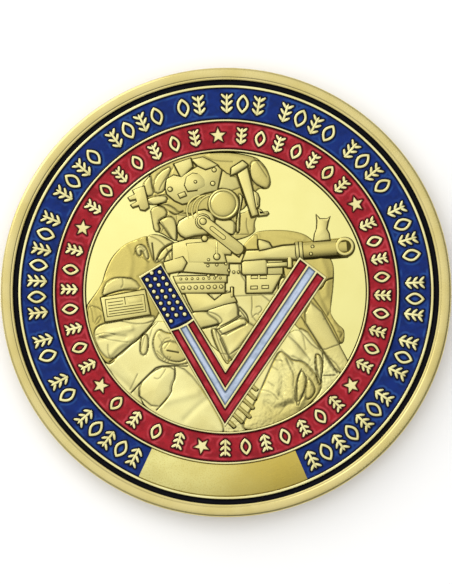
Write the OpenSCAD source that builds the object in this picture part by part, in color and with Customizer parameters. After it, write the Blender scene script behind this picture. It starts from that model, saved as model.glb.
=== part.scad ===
// Struck and enamelled challenge coin, lying flat with its obverse up.
// Millimetres, +Z up, origin at the centre of the face it rests on.

/* [Coin] */
// Diameter of the coin over its plain edge
coin_d = 40; // [38:0.5:42]
// Thickness of the coin over its two rims
coin_t = 3; // [2.8:0.1:3.6]
// Width of the soft bevel between the edge and each rim
edge_bevel = 0.25; // [0.1:0.05:0.3]
// Width of the low lip inside the obverse rim
lip_w = 0.25; // [0.15:0.05:0.3]

/* [Bands] */
// Outer radius of the black ring
black_out = 18.9; // [18.85:0.01:18.95]
// Inner radius of the black ring
black_in = 18.43; // [18.4:0.01:18.5]
// Outer radius of the blue band
blue_out = 18.2; // [18.15:0.01:18.25]
// Inner radius of the blue band
blue_in = 15.37; // [15.32:0.01:15.42]
// Outer radius of the red band
red_out = 15.14; // [15.05:0.01:15.18]
// Inner radius of the red band
red_in = 12.68; // [12.62:0.01:12.72]
// Radius of the polished field in the middle
field_r = 12.48; // [12.42:0.01:12.52]

/* [Heights] */
// Depth from the rim down to the tops of the raised metal lines
line_drop = 0.14; // [0.1:0.01:0.18]
// Depth from the rim down to the enamel
enamel_drop = 0.26; // [0.22:0.01:0.3]
// Depth from the rim down to the metal floor under the enamel
floor_drop = 0.58; // [0.5:0.01:0.7]
// Depth from the rim down to the polished field
field_drop = 0.50; // [0.45:0.01:0.6]

/* [Bare panel] */
// Angle of the panel's left end, counted from +X
panel_from = 244.9; // [244:0.1:246]
// Angle of the panel's right end
panel_to = 293.35; // [292:0.05:294]

/* [Ornament] */
// Height of an ornament in the blue band
blue_motif_h = 1.73; // [1.6:0.01:1.8]
// Height of an ornament in the red band
red_motif_h = 1.50; // [1.4:0.01:1.55]
// Width of a raised stroke
stroke = 0.24; // [0.2:0.01:0.25]
// Distance from the centre of a star to its points
star_r = 0.72; // [0.65:0.01:0.75]

/* [Chevron] */
// How far below the centre the chevron's outer corner is
chevron_low = 12.05; // [11.9:0.01:12.1]
// How far below the centre the chevron's inner corner is
chevron_notch = 7.05; // [6.9:0.01:7.2]
// Radius of a raised dot in the navy field
dot_r = 0.17; // [0.15:0.01:0.18]

/* [Reverse] */
// Distance from the centre of the reverse star to its points
back_star_r = 5.6; // [5:0.1:6]
// Width of the raised lines on the reverse
back_line = 0.3; // [0.25:0.01:0.35]

/* [Hidden] */
$fn = 180;

coin_r = coin_d / 2;
line_top = coin_t - line_drop;
enamel_top = coin_t - enamel_drop;
floor_top = coin_t - floor_drop;
field_top = coin_t - field_drop;
panel_top = line_top - 0.03;
lip_top = coin_t - 0.06;
root = 0.2;                     // how far a raised form is sunk into the metal under it
band_mid = (blue_out + blue_in) / 2;
red_mid = (red_out + red_in) / 2;

gold = [0.90, 0.85, 0.53];
black = [0.02, 0.02, 0.04];
blue = [0.07, 0.20, 0.55];
red = [0.70, 0.15, 0.20];
navy = [0.08, 0.10, 0.45];
white = [0.71, 0.78, 0.88];

// ---- Ornament in the bands ----
// The number of ornaments in each group round the blue band, clockwise from the panel's left end
blue_groups = [5, 2, 2, 7, 4, 4, 2, 3, 4, 4, 4, 3, 3, 7];
// The gap between two groups, in ornament pitches
group_gap = 0.75;
// The angle from the panel's end to the middle of the first ornament
end_margin = 3.6;
blue_span = 360 - (panel_to - panel_from) - 2 * end_margin;
// The stars round the red band, and the number of ornaments after each one, clockwise
star_angles = [261.2, 217.2, 156.3, 92.9, 33.8, -37.1, -98.8];
red_groups = [4, 7, 7, 7, 9, 7];
star_margin = 8.6;

function total(list, count) = count == 0 ? 0 : list[count - 1] + total(list, count - 1);
blue_pitch = blue_span / (total(blue_groups, len(blue_groups)) - 1 + group_gap * (len(blue_groups) - 1));
function blue_angle(g, i) =
    panel_from - end_margin - blue_pitch * (total(blue_groups, g) + group_gap * g + i);
function red_angle(g, i) =
    star_angles[g] - star_margin
    - i * (star_angles[g] - star_angles[g + 1] - 2 * star_margin) / (red_groups[g] - 1);

// Sizes of the ornaments, as shares of their height
leaf_w = 0.64;
leaf_shoulder = 0.27;
leaf_shoulder_w = 0.40;
eye_cut = 1.5;                  // how much further the stroke reaches along a pointed end
ear_rows = 3;
ear_w = 0.62;

module leaf_shape(h, w)
    polygon([[0, h / 2], [-leaf_shoulder_w * w, leaf_shoulder * h], [-w / 2, 0],
             [-leaf_shoulder_w * w, -leaf_shoulder * h], [0, -h / 2],
             [leaf_shoulder_w * w, -leaf_shoulder * h], [w / 2, 0], [leaf_shoulder_w * w, leaf_shoulder * h]]);

module leaf_eye(h) leaf_shape(h - 2 * eye_cut * stroke, leaf_w * h - 2 * stroke);

module leaf(h) difference() {
    leaf_shape(h, leaf_w * h);
    leaf_eye(h);
}

// One ear: a stem with slanting grains on both sides
module ear(h) {
    square([stroke, h], center = true);
    for (row = [0 : ear_rows - 1], side = [-1, 1]) {
        low = -h / 2 + h * row / ear_rows;
        polygon([[0, low], [side * ear_w * h / 2, low + h / ear_rows - stroke / 2],
                 [side * ear_w * h / 2, low + h / ear_rows + stroke / 2], [0, low + stroke * 1.4]]);
    }
}

module star(outer, inner)
    polygon([for (k = [0 : 9]) (k % 2 == 0 ? outer : inner) * [sin(36 * k), cos(36 * k)]]);

function is_leaf(i, count) = i % 2 == (count > 2 ? 1 : 0);

module place(radius, angle) rotate(angle - 90) translate([0, radius]) children();

module blue_ornament(eyes)
    for (g = [0 : len(blue_groups) - 1], i = [0 : blue_groups[g] - 1])
        place(band_mid, blue_angle(g, i))
            if (is_leaf(i, blue_groups[g])) {
                if (eyes) leaf_eye(blue_motif_h); else leaf(blue_motif_h);
            } else if (!eyes) ear(blue_motif_h);

module red_ornament(eyes) {
    for (g = [0 : len(red_groups) - 1], i = [0 : red_groups[g] - 1])
        place(red_mid, red_angle(g, i))
            if (is_leaf(i, red_groups[g])) {
                if (eyes) leaf_eye(red_motif_h); else leaf(red_motif_h);
            } else if (!eyes) ear(red_motif_h);
}

module red_stars()
    for (g = [0 : len(red_groups) - 1]) place(red_mid, star_angles[g]) star(star_r, star_r * 0.42);

module ring(outer, inner) difference() {
    circle(outer);
    circle(inner);
}

// A wedge from one angle to another, wide enough to cut any band
module wedge(from, to) {
    reach = coin_d;
    mid = (from + to) / 2;
    polygon([[0, 0], reach * [cos(from), sin(from)], reach * [cos(mid), sin(mid)], reach * [cos(to), sin(to)]]);
}

// ---- Chevron ----
// Corners of the outer and the inner edge: the left end, the corner, the right end
outer_edge = [[-7.75, 1.25], [-0.1, -chevron_low], [8.95, 1.2]];
inner_edge = [[-5.75, 2.45], [-0.05, -chevron_notch], [6.55, 3.0]];
// The stripes between the inner edge (0) and the outer edge (1)
inner_red = [0.05, 0.315];
white_part = [0.375, 0.625];
outer_red = [0.685, 0.95];
end_line = 0.013;               // thickness of the line at an arm's end, as a share of the arm
field_end = 0.555;              // where the navy field ends, as a share of the left arm
field_slant = 0.16;             // how much further out it ends along the outer edge than along the inner
dot_rows = 3;
dot_columns = 8;

function corner(k, t) = inner_edge[k] + t * (outer_edge[k] - inner_edge[k]);
function along(k, t, s) = corner(1, t) + s * (corner(k, t) - corner(1, t));
function field_at(t, more = 0) = field_end + (t - 0.5) * field_slant + more;

// A stripe between shares t[0] and t[1], up both arms as far as s_left and s_right
module stripe(t, s_left, s_right)
    polygon([along(0, t[0], s_left), corner(1, t[0]), along(2, t[0], s_right),
             along(2, t[1], s_right), corner(1, t[1]), along(0, t[1], s_left)]);

// A stripe that starts at the slanted end of the navy field
module striped(t)
    polygon([along(0, t[0], field_at(t[0])), corner(1, t[0]), along(2, t[0], 1 - end_line),
             along(2, t[1], 1 - end_line), corner(1, t[1]), along(0, t[1], field_at(t[1]))]);

module navy_field() difference() {
    polygon([along(0, inner_red[0], field_at(inner_red[0], end_line)), along(0, inner_red[0], 1 - end_line),
             along(0, outer_red[1], 1 - end_line), along(0, outer_red[1], field_at(outer_red[1], end_line))]);
    navy_dots();
}

// The slant fades out towards the arm's end
function dot_station(t, step) =
    let (s = field_end + 0.07 + step * (0.93 - field_end) / dot_columns)
    s + (t - 0.5) * field_slant * max(0, 1 - abs(s - field_end) / 0.43);

module navy_dots()
    for (row = [0 : dot_rows - 1], column = [0 : dot_columns - 1])
        translate(along(0, 0.22 + 0.28 * row, dot_station(0.22 + 0.28 * row, column + (row % 2) / 2)))
            circle(dot_r, $fn = 24);

module chevron_frame() difference() {
    stripe([0, 1], 1, 1);
    navy_field();
    striped(inner_red);
    striped(white_part);
    striped(outer_red);
}

// ---- Relief in the field, as plain steps ----
module step(height, points) linear_extrude(height = height + root) polygon(points);

module relief() translate([0, 0, field_top - root]) intersection() {
    cylinder(r = field_r + 0.1, h = coin_t);
    union() {
        // front of the body, between the chevron's arms
        step(0.14, [[-5.3, 2.3], [6.4, 2.9], [3.3, -2], [0, -6.9], [-3.4, -1.5]]);
        // body, both shoulders and legs
        step(0.14, [[-12, -2.6], [-11.2, 0], [-9.4, 3.2], [-7.6, 4.5], [-5.6, 5.0], [2.9, 5.4], [7.4, 4.7],
                    [9.6, 2.6], [9.7, -0.6], [10.2, -4.2], [11.5, -6.5], [8, -10], [0, -13], [-9, -9]]);
        // helmet and head
        step(0.22, [[-6.3, 7.2], [-5.9, 10.4], [-4, 12], [3.6, 12], [4.3, 9.6], [3.2, 8.4], [2.9, 5.2], [-4.4, 4.6]]);
        // near shoulder
        step(0.24, [[-9.4, 2.2], [-7.6, 3.8], [-5.6, 4.3], [-4, 3.4], [-3.2, 0.6], [-4.4, -3.4], [-10.6, -3],
                    [-10.9, 0]]);
        // receiver and its rail
        step(0.26, [[-4.2, 4.6], [2.6, 4.6], [3.2, 3.2], [5.2, 1.2], [4.9, -0.8], [-3.7, -0.8], [-4.2, 1.8]]);
        // barrel
        step(0.28, [[1.8, 4.2], [6.6, 4.8], [6.4, 3.2], [1.8, 2.4]]);
        // forearm and hand
        step(0.24, [[-3.2, -1.7], [1.6, -0.6], [3.2, -3.2], [1.6, -7.2], [0.2, -7.4], [-1, -3.4], [-3, -3.4]]);
        // sandbag
        step(0.3, [[4.4, -5.4], [8.4, -6.2], [9.8, -8], [6.4, -11], [2.6, -12.2], [1.6, -10.6], [3.6, -8]]);
        // muzzle
        translate([9.2, 4.05, 0]) rotate([0, 0, 8]) linear_extrude(height = 0.34 + root)
            square([5, 2], center = true);
        // lens of the night sight
        translate([-0.2, 7.75, 0]) cylinder(r = 1.35, h = 0.36 + root);
        // body of the sight
        translate([-2.6, 6.0, 0]) cylinder(r = 1.25, h = 0.32 + root);
    }
}

// ---- Reverse ----
leaf_pairs = 9;
wreath_r = 9.4;
wreath_from = 20;

module back_star_edge() star(back_star_r, back_star_r * 0.42);
module back_star_fill() star(back_star_r - 2.6 * back_line, (back_star_r - 2.6 * back_line) * 0.42);

module wreath()
    for (side = [-1, 1], k = [0 : leaf_pairs - 1], lean = [-1, 1])
        rotate(side * (180 - wreath_from - k * (180 - 2 * wreath_from) / leaf_pairs))
            translate([lean * 0.55, wreath_r + lean * 0.75]) rotate(side * (90 + lean * 32))
                leaf_shape(2.2, 0.8);

// ---- Sub-parts ----
// The struck metal: rims, raised lines, ornaments, relief and the floors under the enamel
module coin_body() color(gold) {
    rotate_extrude()
        polygon([[0, floor_drop], [black_in - back_line, floor_drop], [black_in - back_line, line_drop],
                 [black_in, line_drop], [black_in, floor_drop], [black_out, floor_drop], [black_out, 0],
                 [coin_r - edge_bevel, 0], [coin_r, edge_bevel], [coin_r, coin_t - edge_bevel],
                 [coin_r - edge_bevel, coin_t], [black_out + lip_w, coin_t], [black_out + lip_w, lip_top],
                 [black_out, lip_top], [black_out, floor_top], [black_in, floor_top], [black_in, line_top],
                 [blue_out, line_top], [blue_out, floor_top], [blue_in, floor_top], [blue_in, line_top],
                 [red_out, line_top], [red_out, floor_top], [red_in, floor_top], [red_in, line_top],
                 [field_r, line_top], [field_r, field_top], [0, field_top]]);
    translate([0, 0, floor_top - root]) linear_extrude(height = panel_top - floor_top + root)
        intersection() {
            ring(blue_out + 0.1, blue_in - 0.1);
            wedge(panel_from, panel_to);
        }
    translate([0, 0, floor_top - root]) linear_extrude(height = line_top - floor_top + root) {
        blue_ornament(false);
        red_ornament(false);
        red_stars();
    }
    translate([0, 0, floor_top - root]) linear_extrude(height = line_top - floor_top + root) chevron_frame();
    relief_round_chevron();
    translate([0, 0, line_drop]) linear_extrude(height = floor_drop - line_drop + root) {
        difference() {
            back_star_edge();
            back_star_fill();
        }
        wreath();
    }
}

// The relief stops at the chevron, and the chevron's floor is open for its enamel
module relief_round_chevron() difference() {
    relief();
    translate([0, 0, floor_top]) linear_extrude(height = coin_t) stripe([0.02, 0.98], 0.99, 0.99);
}

module fill(low, high) translate([0, 0, low]) linear_extrude(height = high - low) children();

module black_ring_enamel() color(black) fill(floor_top, enamel_top) ring(black_out, black_in);

module blue_band_enamel() color(blue) fill(floor_top, enamel_top) difference() {
    ring(blue_out, blue_in);
    wedge(panel_from, panel_to);
    blue_ornament(false);
    blue_ornament(true);
}

module blue_leaf_fills() color(blue) fill(floor_top, enamel_top) blue_ornament(true);

module red_band_enamel() color(red) fill(floor_top, enamel_top) difference() {
    ring(red_out, red_in);
    red_ornament(false);
    red_ornament(true);
    red_stars();
}

module red_leaf_fills() color(red) fill(floor_top, enamel_top) red_ornament(true);

module chevron_navy_enamel() color(navy) fill(field_top, enamel_top) navy_field();

module chevron_outer_red_enamel() color(red) fill(field_top, enamel_top)
    striped(outer_red);

module chevron_white_enamel() color(white) fill(field_top, enamel_top)
    striped(white_part);

module chevron_inner_red_enamel() color(red) fill(field_top, enamel_top)
    striped(inner_red);

module reverse_ring_enamel() color(black) fill(enamel_drop, floor_drop) ring(black_out, black_in);

module reverse_star_enamel() color(blue) fill(enamel_drop, floor_drop) back_star_fill();

coin_body();
black_ring_enamel();
blue_band_enamel();
blue_leaf_fills();
red_band_enamel();
red_leaf_fills();
chevron_navy_enamel();
chevron_outer_red_enamel();
chevron_white_enamel();
chevron_inner_red_enamel();
reverse_ring_enamel();
reverse_star_enamel();
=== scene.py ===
import math
import bpy
import bmesh
import numpy as np
from mathutils import Matrix, Vector


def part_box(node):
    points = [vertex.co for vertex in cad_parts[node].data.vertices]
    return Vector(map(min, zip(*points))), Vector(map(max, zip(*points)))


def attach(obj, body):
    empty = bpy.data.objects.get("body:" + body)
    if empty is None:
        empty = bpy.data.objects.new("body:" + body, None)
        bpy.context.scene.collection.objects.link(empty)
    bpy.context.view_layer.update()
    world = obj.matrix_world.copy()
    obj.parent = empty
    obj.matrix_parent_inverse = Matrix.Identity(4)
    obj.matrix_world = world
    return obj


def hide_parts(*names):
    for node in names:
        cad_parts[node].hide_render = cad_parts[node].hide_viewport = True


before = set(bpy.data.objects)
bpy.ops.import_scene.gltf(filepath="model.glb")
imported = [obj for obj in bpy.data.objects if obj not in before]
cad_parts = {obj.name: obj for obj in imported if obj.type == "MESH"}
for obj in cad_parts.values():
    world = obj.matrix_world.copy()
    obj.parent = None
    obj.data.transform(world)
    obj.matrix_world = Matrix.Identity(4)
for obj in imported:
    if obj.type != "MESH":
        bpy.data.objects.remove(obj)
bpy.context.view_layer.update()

# ---------------------------------------------------------------- sizes, mm
MM = 0.001
coin_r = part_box("coin_body")[1].x / MM
coin_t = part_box("coin_body")[1].z / MM
black_out = 18.90
black_in = 18.43
blue_out = 18.20
blue_in = 15.37
red_out = 15.14
red_in = 12.68
field_r = 12.48
line_top = coin_t - 0.14
panel_top = coin_t - 0.17
lip_top = coin_t - 0.06
enamel_top = coin_t - 0.26
field_top = coin_t - 0.50
floor_top = coin_t - 0.58
under_field = field_top - 0.08
footing = floor_top - 0.02
panel_from = 244.9
panel_to = 293.35
stroke = 0.24
leaf_w = 0.64
ear_w = 0.62
blue_mid = (blue_out + blue_in) / 2
red_mid = (red_out + red_in) / 2
blue_height = 1.73
red_height = 1.50
star_r = 0.72
star_waist = 0.44
line_bevel = 0.035
level = 0.9  # a face whose normal rises more than this is level
close = 0.01  # heights nearer than this are the same
blue_groups = [5, 2, 2, 7, 4, 4, 2, 3, 4, 4, 4, 3, 3, 7]
group_gap = 0.75
end_margin = 3.6
star_angles = [261.2, 217.2, 156.3, 92.9, 33.8, -37.1, -98.8]
red_groups = [4, 7, 7, 7, 9, 7]
star_margin = 8.6
back_line = 0.3
back_star_r = 5.6
back_star_waist = 0.42
wreath_r = 9.4
leaf_pairs = 9


# ---------------------------------------------------------------- modelling helpers
def let_go():
    bpy.ops.object.select_all(action="DESELECT")


def added(add_form, **settings):
    """Add one of Blender's own forms, with nothing else selected."""
    let_go()
    add_form(**settings)
    return bpy.context.active_object


def take(piece):
    let_go()
    piece.select_set(True)
    bpy.context.view_layer.objects.active = piece


def open_mesh(piece, mode="VERT"):
    take(piece)
    bpy.ops.object.mode_set(mode="EDIT")
    bpy.ops.mesh.select_mode(type=mode)


def open_whole(piece, mode="FACE"):
    """Open the mesh with all of it selected."""
    open_mesh(piece, mode)
    bpy.ops.mesh.select_all(action="SELECT")


def close_mesh():
    bpy.ops.object.mode_set(mode="OBJECT")


def face_out():
    """Turn all faces outwards."""
    bpy.ops.mesh.select_all(action="SELECT")
    bpy.ops.mesh.normals_make_consistent(inside=False)


def pull(distance):
    """Extrude what is selected, straight up or down."""
    bpy.ops.mesh.extrude_region_move(TRANSFORM_OT_translate={"value": (0, 0, distance)})


def inset(thickness, rise=0.0):
    """Inset the selected faces, then lift them."""
    bpy.ops.mesh.inset(thickness=thickness, use_even_offset=True)
    if rise:
        bpy.ops.transform.translate(value=(0, 0, rise))


def mark(piece, kind, test):
    """Set which faces or edges are selected, in edit mode."""
    mesh = bmesh.from_edit_mesh(piece.data)
    for item in {"edges": mesh.edges, "faces": mesh.faces}[kind]:
        item.select_set(bool(test(item)))
    bmesh.update_edit_mesh(piece.data)


def pick_edges(piece, test):
    """Select the edges whose two ends both pass the test, in edit mode."""
    mesh = bmesh.from_edit_mesh(piece.data)
    for part in (mesh.faces, mesh.edges, mesh.verts):
        for item in part:
            item.select_set(False)
    for edge in mesh.edges:
        if test(edge.verts[0].co) and test(edge.verts[1].co):
            edge.select_set(True)
    bmesh.update_edit_mesh(piece.data)


def soften_top(piece, top, bevel):
    """Bevel the edges round a flat top, but not those inside it."""

    def between_level(edge):
        return all(face.normal.z > level for face in edge.link_faces)

    bpy.ops.mesh.select_mode(type="EDGE")
    pick_edges(piece, lambda co: co.z > top - close)
    mark(piece, "edges", lambda edge: edge.select and not between_level(edge))
    bpy.ops.mesh.bevel(offset=bevel, segments=2, affect="EDGES")


def coords(piece):
    flat = np.empty(len(piece.data.vertices) * 3)
    piece.data.vertices.foreach_get("co", flat)
    return flat.reshape(-1, 3)


def put_coords(piece, points):
    piece.data.vertices.foreach_set("co", np.ascontiguousarray(points, dtype=float).ravel())
    piece.data.update()


def note(piece, name, values):
    """Keep one number for each vertex, for the material to read."""
    layer = piece.data.attributes.new(name, "FLOAT", "POINT")
    layer.data.foreach_set("value", np.asarray(values, dtype=np.float32))


def blank(outline, z):
    """A flat blank cut to an outline, facing up."""
    piece = added(bpy.ops.mesh.primitive_circle_add, vertices=len(outline), radius=1.0, fill_type="NGON")
    area = sum(a[0] * b[1] - b[0] * a[1] for a, b in zip(outline, outline[1:] + outline[:1]))
    ordered = outline if area > 0 else outline[::-1]
    put_coords(piece, [(x, y, z) for x, y in ordered])
    return piece


def plate(outline, top, bevel=0.05, low=under_field, tilt=(0.0, 0.0), crown=0.0, margin=0.16):
    """A raised plate: extruded up, its top tilted, its upper edge bevelled, its middle crowned."""
    piece = blank(outline, low)
    open_whole(piece, "VERT")
    pull(top - low)
    close_mesh()
    points = coords(piece)
    upper = points[:, 2] > (top + low) / 2
    middle = points[upper].mean(axis=0)
    points[upper, 2] += tilt[0] * (points[upper, 0] - middle[0]) + tilt[1] * (points[upper, 1] - middle[1])
    put_coords(piece, points)
    open_mesh(piece, "EDGE")
    face_out()
    pick_edges(piece, lambda co: co.z > (top + low) / 2)
    if bevel > 0:
        bpy.ops.mesh.bevel(offset=bevel, segments=2, affect="EDGES")
    if crown > 0:
        bpy.ops.mesh.select_mode(type="FACE")
        mark(piece, "faces", lambda face: False)
        mesh = bmesh.from_edit_mesh(piece.data)
        above = [face for face in mesh.faces if face.calc_center_median().z > low + 0.05]
        roofs = [face for face in above if face.normal.z > level]
        max(roofs, key=lambda face: face.calc_area()).select_set(True)
        bmesh.update_edit_mesh(piece.data)
        inset(margin, crown)
    close_mesh()
    return piece


def round_bar(start, end, radius, rise, end_bevel=0.05, narrow=1.0):
    """A round bar lying in the field between two points, pressed flat to its rise above the field."""
    start, end = Vector(start), Vector(end)
    length = (end - start).length
    turn = math.atan2(end.y - start.y, end.x - start.x)
    bar = {"vertices": 40, "radius": radius, "depth": length, "rotation": (0, math.pi / 2, 0)}
    piece = added(bpy.ops.mesh.primitive_cylinder_add, **bar)
    bpy.ops.object.transform_apply(location=True, rotation=True, scale=True)
    open_mesh(piece, "EDGE")
    pick_edges(piece, lambda co: co.x > length / 2 - 0.001)
    bpy.ops.mesh.bevel(offset=end_bevel, segments=3, affect="EDGES")
    close_mesh()
    points = coords(piece)
    share = points[:, 0] / length + 0.5
    points[:, 1] *= narrow + (1 - narrow) * share
    points[:, 2] *= rise / radius
    put_coords(piece, points)
    middle = (start + end) / 2
    piece.data.transform(Matrix.Translation((middle.x, middle.y, field_top)) @ Matrix.Rotation(turn, 4, "Z"))
    return piece


def disc(centre, radius, top, bevel=0.05, low=under_field, count=24):
    turns = [2 * math.pi * k / count for k in range(count)]
    outline = [(centre[0] + radius * math.cos(turn), centre[1] + radius * math.sin(turn)) for turn in turns]
    return plate(outline, top, bevel, low)


def shade_painted(piece):
    """Colour a form with painted shade, as the sunk lines of the relief are."""
    note(piece, "painted_shade", np.ones(len(piece.data.vertices)))
    return piece


def screw(spot, radius, rise, bevel=0.04, step=0.02, count=24, line=0.07):
    """A small round head in a ring with painted shade."""
    ring = shade_painted(disc(spot, radius + line, field_top + rise - step, 0.0, count=count))
    return [ring, disc(spot, radius, field_top + rise, bevel, count=count)]


def capsule(start, end, half, steps=8):
    """The outline of a strip with round ends."""
    start, end = Vector(start), Vector(end)
    turn = math.atan2(end.y - start.y, end.x - start.x)
    made = []
    for middle, first in ((end, turn - math.pi / 2), (start, turn + math.pi / 2)):
        for k in range(steps + 1):
            angle = first + math.pi * k / steps
            made.append((middle.x + half * math.cos(angle), middle.y + half * math.sin(angle)))
    return made


def turned(profile, steps, start=0.0, sweep=360.0, closed=False):
    """A profile of (radius, height) spun about the coin's axis."""
    piece = added(bpy.ops.mesh.primitive_circle_add, vertices=len(profile), radius=1.0, fill_type="NOTHING")
    turn = math.radians(start)
    put_coords(piece, [(r * math.cos(turn), r * math.sin(turn), z) for r, z in profile])
    if not closed:
        last = len(profile) - 1
        open_mesh(piece, "EDGE")
        mark(piece, "edges", lambda edge: {v.index for v in edge.verts} == {0, last})
        bpy.ops.mesh.delete(type="EDGE")
        close_mesh()
    open_whole(piece, "VERT")
    bpy.ops.mesh.spin(steps=steps, angle=-math.radians(sweep), center=(0, 0, 0), axis=(0, 0, 1))
    bpy.ops.mesh.select_all(action="SELECT")
    bpy.ops.mesh.remove_doubles(threshold=0.0005)
    if sweep < 360.0:
        bpy.ops.mesh.select_all(action="SELECT")
        bpy.ops.mesh.fill_holes(sides=0)
    face_out()
    close_mesh()
    return piece


def copy_at(master, place):
    """A copy of a finished form, with a mesh of its own, set down at a place."""
    twin = master.copy()
    twin.data = master.data.copy()
    twin.data.transform(place)
    bpy.context.collection.objects.link(twin)
    return twin


def shifted(piece, x, y):
    piece.data.transform(Matrix.Translation((x, y, 0)))
    return piece


def drop(piece):
    bpy.data.objects.remove(piece, do_unlink=True)


def joined(pieces):
    let_go()
    for piece in pieces:
        piece.select_set(True)
    bpy.context.view_layer.objects.active = pieces[0]
    if len(pieces) > 1:
        bpy.ops.object.join()
    return bpy.context.active_object


def finished(piece, name, finishes, nodes, angle=32):
    """Bring a piece from millimetres to metres, smooth it, finish it and fix it to the coin."""
    piece.name = name
    piece.data.name = name
    take(piece)
    piece.scale = (MM, MM, MM)
    bpy.ops.object.transform_apply(location=True, rotation=True, scale=True)
    bpy.ops.object.shade_smooth_by_angle(angle=math.radians(angle))
    for finish in finishes:
        piece.data.materials.append(finish)
    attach(piece, "root")
    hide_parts(*nodes)
    return piece


def in_gold(piece, name, finish, angle=35):
    finished(piece, name, [finish], ["coin_body"], angle)


def in_enamel(piece, name, finish, slot_name, *nodes):
    finished(piece, name, [finish], nodes, 60)


# ---------------------------------------------------------------- distances and outlines
def softened(outline, rounds=2):
    """The outline with its corners cut back, round by round."""
    points = np.array(outline, dtype=float)
    for _ in range(rounds):
        after = np.roll(points, -1, axis=0)
        both = np.stack([0.75 * points + 0.25 * after, 0.25 * points + 0.75 * after], axis=1)
        points = both.reshape(-1, 2)
    return points


def softened_line(line, rounds=2):
    points = np.array(line, dtype=float)
    for _ in range(rounds):
        if len(points) < 3:
            return points
        before, after = points[:-1], points[1:]
        both = np.stack([0.75 * before + 0.25 * after, 0.25 * before + 0.75 * after], axis=1)
        points = np.vstack([points[:1], both.reshape(-1, 2)[1:-1], points[-1:]])
    return points


def away(x, y, line, closed=False):
    """The distance from each point to a line of straight parts."""
    line = np.asarray(line, dtype=float)
    ends = np.roll(line, -1, axis=0) if closed else line[1:]
    starts = line if closed else line[:-1]
    best = np.full(x.shape, 1e9)
    for (ax, ay), (bx, by) in zip(starts, ends):
        dx, dy = bx - ax, by - ay
        size = dx * dx + dy * dy + 1e-12
        t = np.clip(((x - ax) * dx + (y - ay) * dy) / size, 0, 1)
        best = np.minimum(best, (x - ax - t * dx) ** 2 + (y - ay - t * dy) ** 2)
    return np.sqrt(best)


def window_on(line, margin):
    """The part of the relief's grid round a line."""
    low, high = line.min(axis=0) - margin, line.max(axis=0) + margin
    columns = np.flatnonzero((axis >= low[0]) & (axis <= high[0]))
    rows = np.flatnonzero((axis >= low[1]) & (axis <= high[1]))
    return np.ix_(rows, columns)


def within(x, y, outline):
    """True inside a closed outline."""
    outline = np.asarray(outline, dtype=float)
    inside = np.zeros(x.shape, dtype=bool)
    for (ax, ay), (bx, by) in zip(outline, np.roll(outline, -1, axis=0)):
        if ay == by:
            continue
        crosses = (ay > y) != (by > y)
        inside ^= crosses & (x < (bx - ax) * (y - ay) / (by - ay) + ax)
    return inside


def depth_in(x, y, outline):
    """The distance to a closed outline, more than 0 inside it."""
    far = away(x, y, outline, closed=True)
    return np.where(within(x, y, outline), far, -far)


def eased(t):
    t = np.clip(t, 0, 1)
    return t * t * (3 - 2 * t)


# ---------------------------------------------------------------- materials
def arithmetic(operation, turned_round=False):
    """An operator for wires, or its reflected form."""

    def worked(wire, other):
        first, second = (other, wire) if turned_round else (wire, other)
        return wire.bench.node("ShaderNodeMath", {"operation": operation}, {0: first, 1: second})

    return worked


class Wire:
    """One output of a material's node, with arithmetic."""

    def __init__(self, bench, socket):
        self.bench = bench
        self.socket = socket

    __add__ = arithmetic("ADD")
    __radd__ = arithmetic("ADD", True)
    __sub__ = arithmetic("SUBTRACT")
    __rsub__ = arithmetic("SUBTRACT", True)
    __mul__ = arithmetic("MULTIPLY")
    __rmul__ = arithmetic("MULTIPLY", True)
    __pow__ = arithmetic("POWER")
    __rpow__ = arithmetic("POWER", True)


class Bench:
    """A material being mixed."""

    def __init__(self, name, tree=None):
        if tree is None:
            self.material = bpy.data.materials.new(name)
            self.material.use_nodes = True
            tree = self.material.node_tree
            self.shader = tree.nodes["Principled BSDF"]
        self.tree = tree

    def node(self, kind, settings=None, sockets=None, output=0):
        made = self.tree.nodes.new(kind)
        for key, value in (settings or {}).items():
            setattr(made, key, value)
        for key, value in (sockets or {}).items():
            self.plug(made.inputs[key], value)
        return Wire(self, made.outputs[output])

    def plug(self, socket, value):
        if isinstance(value, Wire):
            self.tree.links.new(value.socket, socket)
        else:
            socket.default_value = value

    def place(self, scale=1000.0):
        """Object coordinates in millimetres."""
        where = self.node("ShaderNodeTexCoord", output="Object")
        return self.node("ShaderNodeVectorMath", {"operation": "SCALE"}, {0: where, "Scale": scale})

    def read(self, name):
        """A number kept for each vertex."""
        return self.node("ShaderNodeAttribute", {"attribute_name": name}, output="Fac")

    def noise(self, where, scale, detail=3.0, roughness=0.5):
        sockets = {"Vector": where, "Scale": scale, "Detail": detail, "Roughness": roughness}
        return self.node("ShaderNodeTexNoise", {}, sockets)

    def mix(self, factor, first, second):
        return self.node("ShaderNodeMix", {"data_type": "RGBA"}, {0: factor, 6: first, 7: second}, output=2)

    def spread(self, value, low, high, to_low=0.0, to_high=1.0):
        """Low to high is spread smoothly over to_low to to_high."""
        sockets = {0: value, 1: low, 2: high, 3: to_low, 4: to_high}
        return self.node("ShaderNodeMapRange", {"interpolation_type": "SMOOTHSTEP"}, sockets)

    def bump(self, height, strength, distance=0.00005, normal=None):
        sockets = {"Height": height, "Strength": strength, "Distance": distance}
        if normal is not None:
            sockets["Normal"] = normal
        return self.node("ShaderNodeBump", {}, sockets)

    def set(self, **values):
        for key, value in values.items():
            self.plug(self.shader.inputs[key.replace("_", " ")], value)


def tone(red, green, blue):
    """A colour given as it looks on a screen, 0 to 255."""
    def part(value):
        value = value / 255
        return value / 12.92 if value <= 0.04045 else ((value + 0.055) / 1.055) ** 2.4
    return (part(red), part(green), part(blue), 1.0)


gold_deep = tone(206, 187, 100)
gold_dim_tone = tone(208, 192, 106)
painted_shade_gold = tone(58, 50, 12)


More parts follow.
